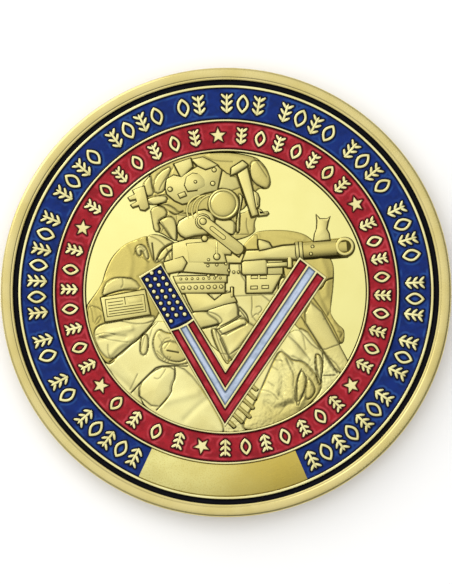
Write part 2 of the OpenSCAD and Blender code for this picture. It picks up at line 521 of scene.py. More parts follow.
def gold(name, roughness, grain, grain_scale, light, deep=gold_deep, painted_shade=False, occlusion_shade_reach=0.0, wave=0.0,
         speckle=0.0, across=None):
    """Gold plate: colour drifts slightly, the grain is in the roughness and the bump."""
    bench = Bench(name)
    where = bench.place()
    drift = bench.noise(where, 0.35, 2.0)
    fine = bench.noise(where, grain_scale, 3.0, 0.6)
    colour = bench.mix(bench.spread(drift, 0.35, 0.7, 0.0, 0.35), light, deep)
    if speckle > 0:
        colour = bench.mix(bench.spread(fine, 0.36, 0.52, speckle, 0.0), colour, gold_dim_tone)
    # Painted shade: the gold is dimmed where a form is given a darker tone, which is partly painted shade,
    # and darkened towards a near-black gold in creases, recesses and round the gear.
    if painted_shade:
        colour = bench.mix(bench.read("dim_tone_and_shade"), colour, gold_dim_tone)
        colour = bench.mix(bench.spread(bench.read("painted_shade"), 0.05, 0.9, 0.0, 0.96), colour, painted_shade_gold)
    # Painted shade: the colour grows darker along x towards one side, the right of the sandblasted panel.
    if across is not None:
        shade_along_x = bench.node("ShaderNodeSeparateXYZ", {}, {0: where}, output="X")
        colour = bench.mix(bench.spread(shade_along_x, across[0], across[1], 0.0, 0.85), colour, across[2])
    # Painted shade: an Ambient Occlusion node darkens the colour in corners and at the foot of walls.
    if occlusion_shade_reach > 0:
        reach = {"Distance": occlusion_shade_reach * MM}
        open_sky = bench.node("ShaderNodeAmbientOcclusion", {"samples": 6}, reach, output="AO")
        colour = bench.mix(bench.spread(open_sky, 0.35, 0.88), painted_shade_gold, colour)
    rough = bench.spread(fine, 0.3, 0.7, roughness * 0.8, roughness * 1.25)
    surface = bench.bump(fine, grain, 0.00002)
    if wave > 0:
        surface = bench.bump(bench.noise(where, 0.15, 1.0), wave, 0.0005, surface)
    bench.set(Base_Color=colour, Metallic=1.0, Roughness=rough, Normal=surface)
    return bench.material


def enamel(name, body, deep, painted_highlight, roughness=0.16, gloss=0.14):
    """Soft enamel: glossy and a little wavy, with painted shade in a deeper colour where it climbs the metal
    and a painted highlight just before.
    """
    bench = Bench(name)
    where = bench.place()
    wall = bench.read("wall")
    cloud = bench.noise(where, 1.6, 2.0)
    speck = bench.noise(where, 14.0, 2.0)
    patch = bench.noise(where, 0.75, 1.0)
    colour = bench.mix(bench.spread(cloud, 0.3, 0.75, 0.0, 0.35), body, deep)
    # Painted highlight: a ring a little way out from the metal, broken up by noise, takes the lighter colour.
    painted_highlight_ring = bench.spread(wall, 0.08, 0.20) * bench.spread(wall, 0.26, 0.42, 1.0, 0.0)
    colour = bench.mix(painted_highlight_ring * bench.spread(patch, 0.42, 0.62, 0.0, 0.6), colour, painted_highlight)
    # Painted shade: next to the metal the colour goes deep.
    colour = bench.mix(bench.spread(wall, 0.28, 0.72), colour, deep)
    rough = bench.spread(speck, 0.3, 0.7, roughness * 0.8, roughness * 1.3)
    surface = bench.bump(cloud, 0.15, 0.0001)
    bench.set(Base_Color=colour, Roughness=rough, Normal=surface, Metallic=0.0)
    bench.set(Specular_IOR_Level=gloss, Coat_Weight=0.0)
    return bench.material


# Painted shade: the polished, relief and gear golds darken in corners by ambient occlusion; the relief and
# gear golds also darken where their vertices note painted shade.
mirror_gold = gold("polished_gold", 0.12, 0.012, 9.0, tone(250, 243, 162), tone(242, 233, 148), occlusion_shade_reach=0.07,
                   wave=0.015)
# Painted shade: the near-black gold of the narrow ring at the field's edge.
field_edge_shade_gold = gold("field_edge_painted_shade", 0.5, 0.05, 18.0, tone(52, 46, 10), tone(30, 26, 6))
satin_gold = gold("satin_gold", 0.27, 0.07, 22.0, tone(228, 213, 146))
line_gold = gold("line_gold", 0.20, 0.02, 18.0, tone(250, 243, 178))
relief_gold = gold("relief_gold", 0.25, 0.05, 20.0, tone(252, 244, 170), painted_shade=True, occlusion_shade_reach=0.14)
gear_gold = gold("gear_gold", 0.24, 0.04, 20.0, tone(242, 231, 150), painted_shade=True, occlusion_shade_reach=0.13)
# Painted shade: the sandblasted panel darkens towards its right.
sand_gold_shaded_right = gold("sandblasted_gold", 0.34, 0.5, 7.5, tone(250, 243, 163), speckle=0.45,
                 across=(-7.0, 5.5, tone(196, 172, 72)))
back_gold = gold("reverse_sandblasted_gold", 0.38, 0.5, 7.5, tone(228, 213, 140), speckle=0.45)
edge_gold = gold("edge_gold", 0.34, 0.05, 16.0, tone(206, 184, 118))
# The enamels' third colour is the deeper tone of their clouds and of the painted shade by the metal; the
# fourth is their painted highlight.
black_enamel = enamel("black_soft_enamel", tone(7, 7, 13), tone(2, 2, 4), tone(16, 16, 24), 0.2, 0.06)
blue_enamel = enamel("blue_soft_enamel", tone(8, 38, 108), tone(0, 3, 20), tone(36, 78, 142))
red_enamel = enamel("red_soft_enamel", tone(154, 24, 36), tone(44, 0, 4), tone(190, 66, 76))
navy_enamel = enamel("navy_soft_enamel", tone(14, 38, 112), tone(2, 4, 28), tone(40, 76, 146))
white_enamel = enamel("white_soft_enamel", tone(176, 190, 210), tone(80, 94, 112), tone(190, 200, 222))


# ---------------------------------------------------------------- the struck blank
def rounded(corners, radius, segments=3):
    """A profile with each inner corner rounded, unless its sides are too short."""
    made = [corners[0]]
    for before, corner, after in zip(corners, corners[1:], corners[2:]):
        here = Vector(corner)
        back = Vector(before) - here
        on = Vector(after) - here
        cut = min(radius, back.length * 0.45, on.length * 0.45)
        if back.length < 1e-6 or on.length < 1e-6 or back.normalized().dot(on.normalized()) < -0.999:
            made.append(corner)
            continue
        first = here + back.normalized() * cut
        last = here + on.normalized() * cut
        for k in range(segments + 1):
            t = k / segments
            point = (1 - t) ** 2 * first + 2 * t * (1 - t) * here + t * t * last
            made.append((point.x, point.y))
    made.append(corners[-1])
    return made


line_slope = 0.035
field_edge = 0.06
obverse = [
    (0.0, field_top), (field_r - field_edge, field_top),
    (field_r, field_top - 0.03), (field_r + 0.03, line_top),
    (red_in - 0.03, line_top), (red_in, floor_top),
    (red_out, floor_top), (red_out + line_slope, line_top),
    (blue_in - line_slope, line_top), (blue_in, floor_top),
    (blue_out, floor_top), (blue_out, line_top), (black_in, line_top), (black_in, floor_top),
    (black_out, floor_top), (black_out, lip_top - 0.02), (black_out + 0.09, lip_top),
    (black_out + 0.15, lip_top + 0.005), (black_out + 0.20, lip_top - 0.005),
    (black_out + 0.27, coin_t - 0.02), (coin_r - 0.60, coin_t - 0.004), (coin_r - 0.38, coin_t - 0.004),
    (coin_r - 0.19, coin_t - 0.02), (coin_r - 0.05, coin_t - 0.09), (coin_r, coin_t - 0.22),
]
around = 480
finishes = {
    "rim": satin_gold, "field": mirror_gold, "lines": line_gold, "edge": edge_gold, "back": back_gold,
    "field_edge": field_edge_shade_gold,
}
finish_of = {name: place for place, name in enumerate(finishes)}
sunk = 0.58
reverse = [
    (coin_r, 0.28), (coin_r - 0.07, 0.11), (coin_r - 0.22, 0.02), (coin_r - 0.4, 0.0),
    (black_out + 0.06, 0.0),
    (black_out, 0.05), (black_out, sunk), (black_in, sunk), (black_in, 0.14), (black_in - back_line, 0.14),
    (black_in - back_line, sunk), (0.0, sunk),
]
struck = turned(rounded(obverse + reverse, 0.05), around)
for polygon in struck.data.polygons:
    middle = Vector(polygon.center)
    radius = middle.xy.length
    # Painted shade: the narrow ring at the field's edge takes the near-black gold.
    if field_r - field_edge < radius < field_r + line_slope and field_top - 0.1 < middle.z < line_top - 0.06:
        polygon.material_index = finish_of["field_edge"]
    elif abs(middle.z - field_top) < 0.01 and radius < field_r:
        polygon.material_index = finish_of["field"]
    elif middle.z < coin_t - 0.16 and radius > coin_r - 0.06:
        polygon.material_index = finish_of["edge"]
    elif middle.z > 1.5 and radius < black_out:
        polygon.material_index = finish_of["lines"]
    elif middle.z < 0.6 and radius < black_in - back_line and middle.z > 0.5:
        polygon.material_index = finish_of["back"]
finished(struck, "struck_coin", list(finishes.values()), ["coin_body"], 40)


# ---------------------------------------------------------------- bare panel
def band_profile(inner, outer, top, low, rim=0.06):
    """A flat band with soft upper edges."""
    return [
        (inner, low), (outer, low), (outer, top - rim), (outer - rim * 0.4, top - rim * 0.15),
        (outer - rim, top), ((inner + outer) / 2, top), (inner + rim, top),
        (inner + rim * 0.4, top - rim * 0.15), (inner, top - rim),
    ]


panel_profile = band_profile(blue_in + 0.02, blue_out - 0.06, panel_top, footing)
panel = turned(panel_profile, 120, panel_from, panel_to - panel_from, closed=True)
in_gold(panel, "bare_panel", sand_gold_shaded_right, 40)


# ---------------------------------------------------------------- ornament in the bands
def leaf_outline(height, width, steps=12):
    """A pointed leaf, widest at its middle."""
    right = []
    for k in range(steps + 1):
        t = k / steps
        right.append((width / 2 * math.sin(math.pi * t) ** 0.8, -height / 2 + height * t))
    left = [(-x, y) for x, y in right[-2:0:-1]]
    return right + left


def star_outline(outer, inner):
    """Five points, the first straight up."""
    spokes = [(inner if k % 2 else outer, math.pi * k / 5) for k in range(10)]
    return [(spoke * math.sin(turn), spoke * math.cos(turn)) for spoke, turn in spokes]


def leaf_form(height, low):
    """A leaf ring: extruded, inset by the stroke, and its eye pushed down to the floor."""
    piece = blank(leaf_outline(height, leaf_w * height), low)
    open_whole(piece)
    pull(line_top - low)
    inset(stroke * 0.92)
    pull(low - line_top + 0.02)
    face_out()
    soften_top(piece, line_top, line_bevel)
    close_mesh()
    return piece


def grain_outlines(height):
    """The grains of an ear, on both sides of its stem."""
    made = []
    rise = height / 3
    for row in range(3):
        low = -height / 2 + rise * row
        for side in (-1, 1):
            foot = Vector((side * stroke * 0.35, low + stroke * 0.55))
            tip = Vector((side * height * ear_w / 2, low + rise * 0.98))
            along = tip - foot
            across = Vector((-along.y, along.x)).normalized() * stroke * 0.52
            edge = ((0.0, -0.7), (0.45, -1.0), (0.85, -0.7), (1.0, 0.0), (0.85, 0.7), (0.45, 1.0), (0.0, 0.7))
            made.append([tuple(foot + along * far + across * out) for far, out in edge])
    return made


def ear_form(height, low):
    half = stroke * 0.45
    top = height / 2
    stem = [(-half, -top), (half, -top), (half, top - 0.2), (0.0, top), (-half, top - 0.2)]
    parts = [plate(stem, line_top, line_bevel, low)]
    parts += [plate(grain, line_top - 0.004, line_bevel, low) for grain in grain_outlines(height)]
    return joined(parts)


def set_down(radius, angle):
    turn = math.radians(angle - 90)
    return Matrix.Rotation(turn, 4, "Z") @ Matrix.Translation((0, radius, 0))


blue_span = 360 - (panel_to - panel_from) - 2 * end_margin
blue_pitch = blue_span / (sum(blue_groups) - 1 + group_gap * (len(blue_groups) - 1))


def is_leaf(place_in_group, count):
    return place_in_group % 2 == (1 if count > 2 else 0)


blue_places = [
    (panel_from - end_margin - blue_pitch * (sum(blue_groups[:g]) + group_gap * g + i), is_leaf(i, count))
    for g, count in enumerate(blue_groups)
    for i in range(count)
]
red_places = [
    (star_angles[g] - star_margin
     - i * (star_angles[g] - star_angles[g + 1] - 2 * star_margin) / (count - 1), is_leaf(i, count))
    for g, count in enumerate(red_groups)
    for i in range(count)
]


def laid(outline, spot):
    """An outline set down at a place."""
    return np.array([(spot @ Vector((x, y, 0))).xy[:] for x, y in outline])


def band_ornament(places, radius, height):
    """All the leaves and ears of one band, with the outlines of their outer and inner edges."""
    leaf = leaf_form(height, footing)
    ear = ear_form(height, footing)
    leaf_edge = leaf_outline(height, leaf_w * height)
    eye_edge = leaf_outline(height - 2.7 * stroke, leaf_w * height - 1.9 * stroke)
    half = stroke * 0.45
    stem_edge = [(-half, -height / 2), (half, -height / 2), (half, height / 2), (-half, height / 2)]
    forms = []
    edges = []
    for angle, leafy in places:
        spot = set_down(radius, angle)
        forms.append(copy_at(leaf if leafy else ear, spot))
        outlines = [leaf_edge, eye_edge] if leafy else [stem_edge] + grain_outlines(height)
        edges += [laid(outline, spot) for outline in outlines]
    drop(leaf)
    drop(ear)
    return joined(forms), edges


star_edge = star_outline(star_r, star_r * star_waist)


def star_form(low):
    """A five-pointed star with a flat top and a soft edge."""
    piece = blank(star_edge, low)
    open_whole(piece)
    pull(line_top - 0.05 - low)
    inset(0.04, 0.04)
    bpy.ops.mesh.poke(offset=0.006)
    face_out()
    close_mesh()
    return piece


blue_forms, blue_edges = band_ornament(blue_places, blue_mid, blue_height)
in_gold(blue_forms, "blue_band_ornament", line_gold)
red_forms, red_edges = band_ornament(red_places, red_mid, red_height)
star = star_form(footing)
star_spots = [set_down(red_mid, angle) for angle in star_angles[:-1]]
red_edges += [laid(star_edge, spot) for spot in star_spots]
red_forms = joined([red_forms] + [copy_at(star, spot) for spot in star_spots])
drop(star)
in_gold(red_forms, "red_band_ornament", line_gold, 20)


# ---------------------------------------------------------------- enamel in the bands
def climbed(piece, distance, top=enamel_top, rise=0.075, reach=0.11):
    """Let the enamel climb the metal beside it, and note how near the metal is."""
    points = coords(piece)
    high = points[:, 2] > top - 0.03
    points[high, 2] += rise * np.exp(-distance[high] / reach)
    put_coords(piece, points)
    note(piece, "wall", np.exp(-distance / 0.17))


def ring_distance(points, inner, outer, edges):
    radius = np.hypot(points[:, 0], points[:, 1])
    best = np.minimum(radius - inner, outer - radius)
    for edge in edges:
        middle = edge.mean(axis=0)
        near = np.hypot(points[:, 0] - middle[0], points[:, 1] - middle[1]) < 1.7
        spot = away(points[near, 0], points[near, 1], edge, closed=True)
        best[near] = np.minimum(best[near], spot)
    return np.maximum(best, 0.0)


def enamel_ring(inner, outer, cell, steps, edges, start=0.0, sweep=360.0):
    count = max(6, int((outer - inner) / cell))
    top = [(inner + (outer - inner) * k / count, enamel_top) for k in range(count + 1)]
    profile = top + [(outer, floor_top), (inner, floor_top)]
    ring = turned(profile, steps, start, sweep, closed=True)
    climbed(ring, ring_distance(coords(ring), inner, outer, edges))
    return ring


blue_sweep = 360.4 - panel_to + panel_from
blue_ring = enamel_ring(blue_in, blue_out, 0.085, 1000, blue_edges, panel_to - 0.2, blue_sweep)
in_enamel(blue_ring, "blue_enamel", blue_enamel, "blue_enamel", "blue_band_enamel", "blue_leaf_fills")
red_ring = enamel_ring(red_in, red_out, 0.085, 1000, red_edges)
in_enamel(red_ring, "red_enamel", red_enamel, "red_enamel", "red_band_enamel", "red_leaf_fills")
black_ring = enamel_ring(black_in, black_out, 0.05, around, [])
in_enamel(black_ring, "black_enamel", black_enamel, "black_enamel", "black_ring_enamel")

# ---------------------------------------------------------------- chevron
outer_edge = [(-7.75, 1.25), (-0.1, -12.05), (8.95, 1.2)]
inner_edge = [(-5.75, 2.45), (-0.05, -7.05), (6.55, 3.0)]
inner_red, white, outer_red, whole = (0.05, 0.315), (0.375, 0.625), (0.685, 0.95), (0.05, 0.95)
shares = [0.0, *inner_red, *white, *outer_red, 1.0]
end_line = 0.013
field_end = 0.555
field_slant = 0.16
stations = [-1.0, -(1 - end_line), -(field_end + end_line), -field_end, 0.0, 1 - end_line, 1.0]


def on_chevron(share, station):
    """A point of the chevron: share across its width, station -1 to 1 from the left end to the right."""
    arm = 0 if station < 0 else 2
    ends = [Vector(inner_edge[k]).lerp(Vector(outer_edge[k]), share) for k in (1, arm)]
    if station < 0:
        near_field_end = max(0.0, 1 - abs(-station - field_end) / 0.43)
        station -= (share - 0.5) * field_slant * near_field_end
    return ends[0].lerp(ends[1], abs(station))


def gridded(columns, rows):
    """A grid, with its points and the column and row of each."""
    piece = added(bpy.ops.mesh.primitive_grid_add, x_subdivisions=columns, y_subdivisions=rows, size=2)
    points = coords(piece)
    column = np.rint((points[:, 0] + 1) / 2 * columns).astype(int)
    row = np.rint((points[:, 1] + 1) / 2 * rows).astype(int)
    return piece, points, column, row


def lattice(share_list, station_list, z):
    """A grid laid over part of the chevron."""
    piece, points, column, row = gridded(len(share_list) - 1, len(station_list) - 1)
    for k in range(len(points)):
        spot = on_chevron(share_list[column[k]], station_list[row[k]])
        points[k] = (spot.x, spot.y, z)
    put_coords(piece, points)
    open_mesh(piece, "FACE")
    face_out()
    close_mesh()
    if piece.data.polygons[0].normal.z < 0:
        open_whole(piece)
        bpy.ops.mesh.flip_normals()
        close_mesh()
    return piece


def raised(piece, low, top, bevel):
    """Thicken a flat lattice upwards and bevel its upper outline."""
    open_whole(piece)
    pull(top - low)
    face_out()
    if bevel > 0:
        soften_top(piece, top, bevel)
    close_mesh()
    return piece


def in_cell(point):
    """The share and station at the middle of the cell of the chevron that is nearest to a point."""
    cells = [(a, b, c, d) for a, b in zip(shares, shares[1:]) for c, d in zip(stations, stations[1:])]

    def gap(cell):
        a, b, c, d = cell
        corners = [on_chevron(a, c), on_chevron(b, c), on_chevron(b, d), on_chevron(a, d)]
        return (sum(corners, Vector((0, 0))) / 4 - point).length

    a, b, c, d = min(cells, key=gap)
    return (a + b) / 2, (c + d) / 2


def holds_enamel(face):
    share, station = in_cell(face.calc_center_median().xy)
    in_stripe = any(low < share < high for low, high in (inner_red, white, outer_red))
    in_field = -(1 - end_line) < station < -(field_end + end_line) and whole[0] < share < whole[1]
    return in_field or in_stripe and -field_end < station < 1 - end_line


chevron = lattice(shares, stations, footing)
open_mesh(chevron, "FACE")
mark(chevron, "faces", holds_enamel)
bpy.ops.mesh.delete(type="FACE")
close_mesh()
raised(chevron, footing, line_top, line_bevel)

dot_r = 0.17
dot_spots = [
    on_chevron(0.22 + 0.28 * row, -(field_end + 0.07 + (column + (row % 2) / 2) * (0.93 - field_end) / 8))
    for row in range(3)
    for column in range(8)
]
dot = added(bpy.ops.mesh.primitive_cylinder_add, vertices=20, radius=dot_r, depth=line_top - floor_top)
dot.data.transform(Matrix.Translation((0, 0, (line_top + floor_top) / 2)))
open_mesh(dot, "EDGE")
pick_edges(dot, lambda co: co.z > line_top - close)
bpy.ops.mesh.bevel(offset=0.05, segments=3, affect="EDGES")
close_mesh()
chevron = joined([chevron] + [copy_at(dot, Matrix.Translation((spot.x, spot.y, 0))) for spot in dot_spots])
drop(dot)
in_gold(chevron, "chevron_frame", line_gold)


def spaced(low, high, count):
    return [low + (high - low) * k / count for k in range(count + 1)]


def chevron_enamel(share_from, share_to, station_list, distance_to):
    share_list = spaced(share_from, share_to, max(8, int((share_to - share_from) / 0.03)))
    sheet = lattice(share_list, station_list, floor_top)
    raised(sheet, floor_top, enamel_top, 0.0)
    points = coords(sheet)
    climbed(sheet, distance_to(points[:, 0], points[:, 1]))
    return sheet


def outline_of(share_from, share_to, station_from, station_to):
    turns = [station_from, 0.0, station_to] if station_from < 0 < station_to else [station_from, station_to]
    there = [tuple(on_chevron(share_from, s)) for s in turns]
    back = [tuple(on_chevron(share_to, s)) for s in turns[::-1]]
    return there + back


def stripe_distance(share_from, share_to):
    line = outline_of(share_from, share_to, -field_end, 1 - end_line)
    return lambda x, y: away(x, y, line, closed=True)


stripe_stations = spaced(-field_end, 0.0, 90) + spaced(0.0, 1 - end_line, 160)[1:]
for name, part, finish, slot_name in (
    ("chevron_inner_red", inner_red, red_enamel, "red_enamel"),
    ("chevron_white", white, white_enamel, "white_enamel"),
    ("chevron_outer_red", outer_red, red_enamel, "red_enamel"),
):
    sheet = chevron_enamel(*part, stripe_stations, stripe_distance(*part))
    in_enamel(sheet, name, finish, slot_name, name + "_enamel")


navy_ends = (-(1 - end_line), -(field_end + end_line))


def navy_distance(x, y):
    line = outline_of(*whole, *navy_ends)
    best = away(x, y, line, closed=True)
    for spot in dot_spots:
        best = np.minimum(best, np.abs(np.hypot(x - spot.x, y - spot.y) - dot_r))
    return best


navy = chevron_enamel(*whole, spaced(*navy_ends, 70), navy_distance)
in_enamel(navy, "chevron_navy", navy_enamel, "navy_enamel", "chevron_navy_enamel")

# ---------------------------------------------------------------- soft forms of the relief
# height at the edge, further height at the middle, how far in the middle begins, width of the step,
# how far the form's gold is dimmed to a darker tone, partly painted shade, outline; the later forms lie over
# the earlier ones
FORMS = {
    "back": (0.07, 0.13, 1.3, 0.1, 0.9, [(1.11, 3.58), (2.44, 5.18), (3.23, 5.44), (5.1, 5.49), (6.6, 5.26),
        (7.49, 4.82), (8.2, 3.94), (9.53, 2.87), (9.66, 1.19), (9.43, -0.85), (9.26, -2), (9.97, -2.98),
        (10.41, -3.29), (10.56, -3.6), (10.5, -4.66), (9.97, -4.75), (8.2, -5.46), (6.6, -3.51),
        (3.94, -0.85), (1.29, 0.92)]),
    "vest": (0.12, 0.05, 1.2, 0.1, 0.15, [(-5.3, 2.3), (6.4, 2.9), (3.3, -2), (-0.05, -6.9), (-3.4, -1.5)]),
    "legs": (0.06, 0.16, 1.5, 0.12, 0.04, [(-12.28, -0.85), (-10.06, -2.45), (-7.58, -3.07), (-5.81, -2.45),
        (-3.5, -3.51), (-0.13, -10.6), (3.23, -5.28), (6.6, -2.8), (8.38, -5.28), (10.59, -7.23),
        (9.26, -9.71), (5.72, -11.93), (-0.04, -12.9), (-5.81, -11.93), (-10.24, -7.94), (-12.36, -3.51)]),
    "thigh": (0.12, 0.14, 1.1, 0.1, 0, [(-5.98, -6.67), (-3.41, -6.67), (-0.13, -11.84), (-0.31, -12.9),
        (-5.81, -12.02), (-8.2, -8.92)]),
    "knee": (0.16, 0.12, 0.8, 0.08, 0.05, [(-4.52, -6.79), (-4.52, -7.76), (-4.86, -8.3), (-4.92, -9.27),
        (-6.07, -10.6), (-8.2, -8.92), (-5.98, -6.7)]),
    "bag": (0.12, 0.18, 0.9, 0.12, 0.95, [(4.74, -5.19), (5.36, -5.73), (5.81, -6.17), (6.87, -6.26),
        (7.76, -7.14), (8.73, -8.38), (7.49, -10.07), (5.72, -11.49), (3.23, -12.37), (1.29, -12.37),
        (1.91, -11.04), (2.88, -9.36), (3.77, -7.23)]),
    "bar": (0.14, 0.1, 0.35, 0.08, 0.45, [(7.73, -0.41), (10.84, -6.15), (11.21, -7.05), (9.88, -7.41),
        (8.64, -5.51), (7.93, -4.31), (6.78, -2.53)]),
    "blade_a": (0.22, 0.1, 0.2, 0.06, 0.3, [(6.72, -6.97), (7.13, -7.59), (7.13, -8.65), (6.69, -9.71),
        (6.16, -9.89), (6.2, -8.65), (6.43, -7.68)]),
    "blade_b": (0.22, 0.1, 0.2, 0.06, 0.3, [(8.11, -5.59), (8.42, -5.81), (8.58, -6.52), (8.46, -7.76),
        (8.33, -8.47), (8.07, -7.76), (7.93, -6.7), (7.93, -5.9)]),
    "blade_c": (0.24, 0.1, 0.2, 0.06, 0.3, [(7.22, -7.68), (7.76, -8.21), (7.93, -9), (7.31, -9.71),
        (6.96, -9.36)]),
    "sleeve": (0.13, 0.22, 1.1, 0.1, 0.95, [(-12.45, -1.29), (-11.83, -0.5), (-11.03, 0.66), (-10.77, 1.81),
        (-10.24, 2.96), (-9.53, 3.76), (-8.82, 4.29), (-7.93, 4.64), (-6.96, 5), (-5.81, 4.47),
        (-5.1, 3.58), (-4.74, 1.99), (-5.36, 0.04), (-5.81, -1.91), (-6.69, -3.16), (-7.93, -4.4),
        (-9.35, -5.46), (-10.41, -6.88), (-11.83, -4.84), (-12.54, -2.8)]),
    "sleeve_low": (0.17, 0.14, 0.8, 0.08, 0.2, [(-10.77, -2.8), (-6.69, -2.18), (-6.07, -2.45),
        (-7.93, -4.4), (-10.06, -6.35), (-11.3, -5.28), (-11.83, -3.51)]),
    "flap": (0.28, 0.08, 0.4, 0.07, 0.45, [(-11.03, -0.58), (-10.77, 0.57), (-10.06, 1.1), (-9.26, 1.19),
        (-8.11, 1.01), (-7.49, 0.12), (-8.64, 0.21), (-10.06, -0.14)]),
    "strap": (0.28, 0.07, 0.3, 0.06, 0.5, [(-7.13, 4.73), (-6.69, 5.09), (-5.81, 5.04), (-4.92, 4.56),
        (-4.39, 4.2), (-4.92, 3.4), (-5.98, 2.52), (-6.34, 2.52)]),
    "collar": (0.2, 0.1, 0.3, 0.06, 0.6, [(-6.16, 2.52), (-5.98, 3.4), (-5.27, 4.07), (-4.48, 4.33),
        (-3.68, 4.11), (-3.23, 3.4), (-3.5, 2.34)]),
    "collar_in": (0.14, 0.06, 0.4, 0.06, 0.5, [(-5.54, 2.43), (-5.36, 3.14), (-4.92, 3.67), (-4.21, 3.85),
        (-3.59, 3.4), (-3.5, 2.34)]),
    "loop": (0.32, 0.06, 0.12, 0.06, 0.3, [(-7.76, 3.05), (-8.07, 3.58), (-7.93, 4.02), (-7.49, 4.16),
        (-7.05, 3.85), (-6.78, 2.87), (-7.13, 2.78), (-7.4, 3.49), (-7.58, 3.58), (-7.49, 3.23)]),
    "helmet": (0.12, 0.22, 1.3, 0.12, 0.8, [(-7.49, 9.25), (-6.69, 10.67), (-5.36, 11.56), (-3.59, 12.27),
        (0.04, 12.53), (2.53, 12.09), (3.23, 11.56), (3.81, 10.76), (4.03, 9.61), (3.59, 8.99),
        (2.88, 9.25), (2.17, 8.01), (1.29, 6.95), (-1.73, 6.59), (-4.39, 6.77), (-5.81, 7.57),
        (-6.87, 7.75)]),
    "neck": (0.12, 0.08, 0.6, 0.08, 0.7, [(-6.82, 7.48), (-5.54, 7.75), (-4.74, 7.48), (-4.03, 6.77),
        (1.11, 6.77), (2.7, 7.57), (2.79, 6.59), (2.53, 6.06), (2.7, 5.18), (1.11, 4.47), (-2.26, 4.02),
        (-4.74, 4.47), (-5.81, 5.18), (-6.43, 5.26)]),
    "ear": (0.26, 0.12, 0.35, 0.07, 0.7, [(2.26, 11.56), (2.88, 11.73), (3.41, 11.29), (3.94, 10.23),
        (4.03, 9.43), (3.59, 9.03), (2.35, 9.7), (2.08, 10.67)]),
    "strap_d": (0.16, 0.08, 0.2, 0.06, 0.6, [(-7.62, 9.43), (-6.69, 10.49), (-6.56, 9.52), (-6.34, 8.59),
        (-7.13, 8.37)]),
    "strap_c": (0.24, 0.09, 0.3, 0.06, 0.6, [(-5.96, 10.61), (-4.74, 11.25), (-5.27, 9.78), (-5.41, 8.9),
        (-6.29, 8.59), (-6.53, 9.52)]),
    "band": (0.26, 0.06, 0.2, 0.06, 0.3, [(-7.14, 8.3), (-5.28, 8.59), (-5.18, 7.92), (-6.84, 7.56)]),
    "strap_a": (0.26, 0.06, 0.2, 0.06, 0.55, [(-6.82, 7.39), (-5.63, 7.7), (-5.1, 6.77), (-6.07, 6.24),
        (-5.81, 5.26), (-6.43, 5.26), (-6.6, 6.42)]),
    "strap_b": (0.23, 0.06, 0.2, 0.06, 0.5, [(-6.07, 6.24), (-5.01, 6.73), (-4.43, 6.33), (-4.3, 4.56),
        (-4.7, 4.42), (-5.54, 5.71)]),
    "under_lens": (0.2, 0.06, 0.3, 0.06, 0.4, [(-1.2, 6.59), (0.93, 6.37), (0.84, 5.04), (0.22, 5),
        (-1.02, 5.71)]),
    "cheek": (0.3, 0.05, 0.1, 0.05, 0.3, [(1.11, 8.72), (1.55, 8.46), (1.37, 7.75), (1.2, 6.68),
        (1.2, 5.18), (0.89, 5.18), (0.97, 6.59), (1.24, 7.75)]),
    "glove": (0.22, 0.1, 0.5, 0.08, 0.35, [(-6.51, -4.4), (-5.98, -3.33), (-5.27, -3.78), (-4.56, -3.78),
        (-4.03, -4.4), (-3.5, -4.93), (-2.97, -6.35), (-4.39, -6.61), (-5.81, -6.26), (-6.34, -5.46)]),
    "fist": (0.26, 0.12, 0.4, 0.08, 0.5, [(-5.81, -4.84), (-4.92, -4.4), (-3.77, -4.84), (-3.23, -5.9),
        (-4.21, -6.43), (-5.54, -5.99)]),
    "tag": (0.24, 0.05, 0.15, 0.06, 0.3, [(-7.49, -4.04), (-7.13, -3.78), (-6.87, -4.13), (-6.91, -5.28),
        (-7.22, -5.77), (-7.58, -5.55), (-7.58, -4.75)]),
    "hand": (0.22, 0.12, 0.4, 0.08, 0.45, [(-3.32, -1.91), (-1.73, -1.78), (-0.75, -2.14), (-0.31, -2.62),
        (-0.49, -2.98), (-1.2, -3.16), (-2.17, -3.38), (-3.15, -3.51)]),
    "forearm": (0.18, 0.14, 0.6, 0.08, 0.3, [(-1.91, -1.87), (-1.02, -1.38), (0.22, -0.94), (0.93, -0.98),
        (1.2, -1.56), (1.11, -2.27), (1.55, -2.36), (2.08, -2.89), (3.23, -3.51), (0.22, -6.7),
        (-0.31, -5.46), (-1.02, -3.51), (-0.4, -2.8)]),
    "strap_e": (0.26, 0.08, 0.2, 0.06, 0.3, [(-1.46, -3.42), (-0.75, -3.33), (0.49, -6.17), (-0.04, -6.7)]),
    "cuff": (0.26, 0.07, 0.2, 0.06, 0.25, [(-0.77, -3.31), (0.4, -2.84), (1.53, -2.35), (2.01, -2.87),
        (0.93, -3.42), (-0.19, -4.03)]),
    "bipod": (0.24, 0.04, 0.15, 0.05, 0.3, [(4.74, 1.01), (5.18, 1.28), (5.54, 0.92), (5.1, 0.12),
        (4.61, -0.14)]),
}
ANGULAR = ("knee", "bar", "flap", "cuff", "strap_a", "strap_c", "strap_d", "tag")
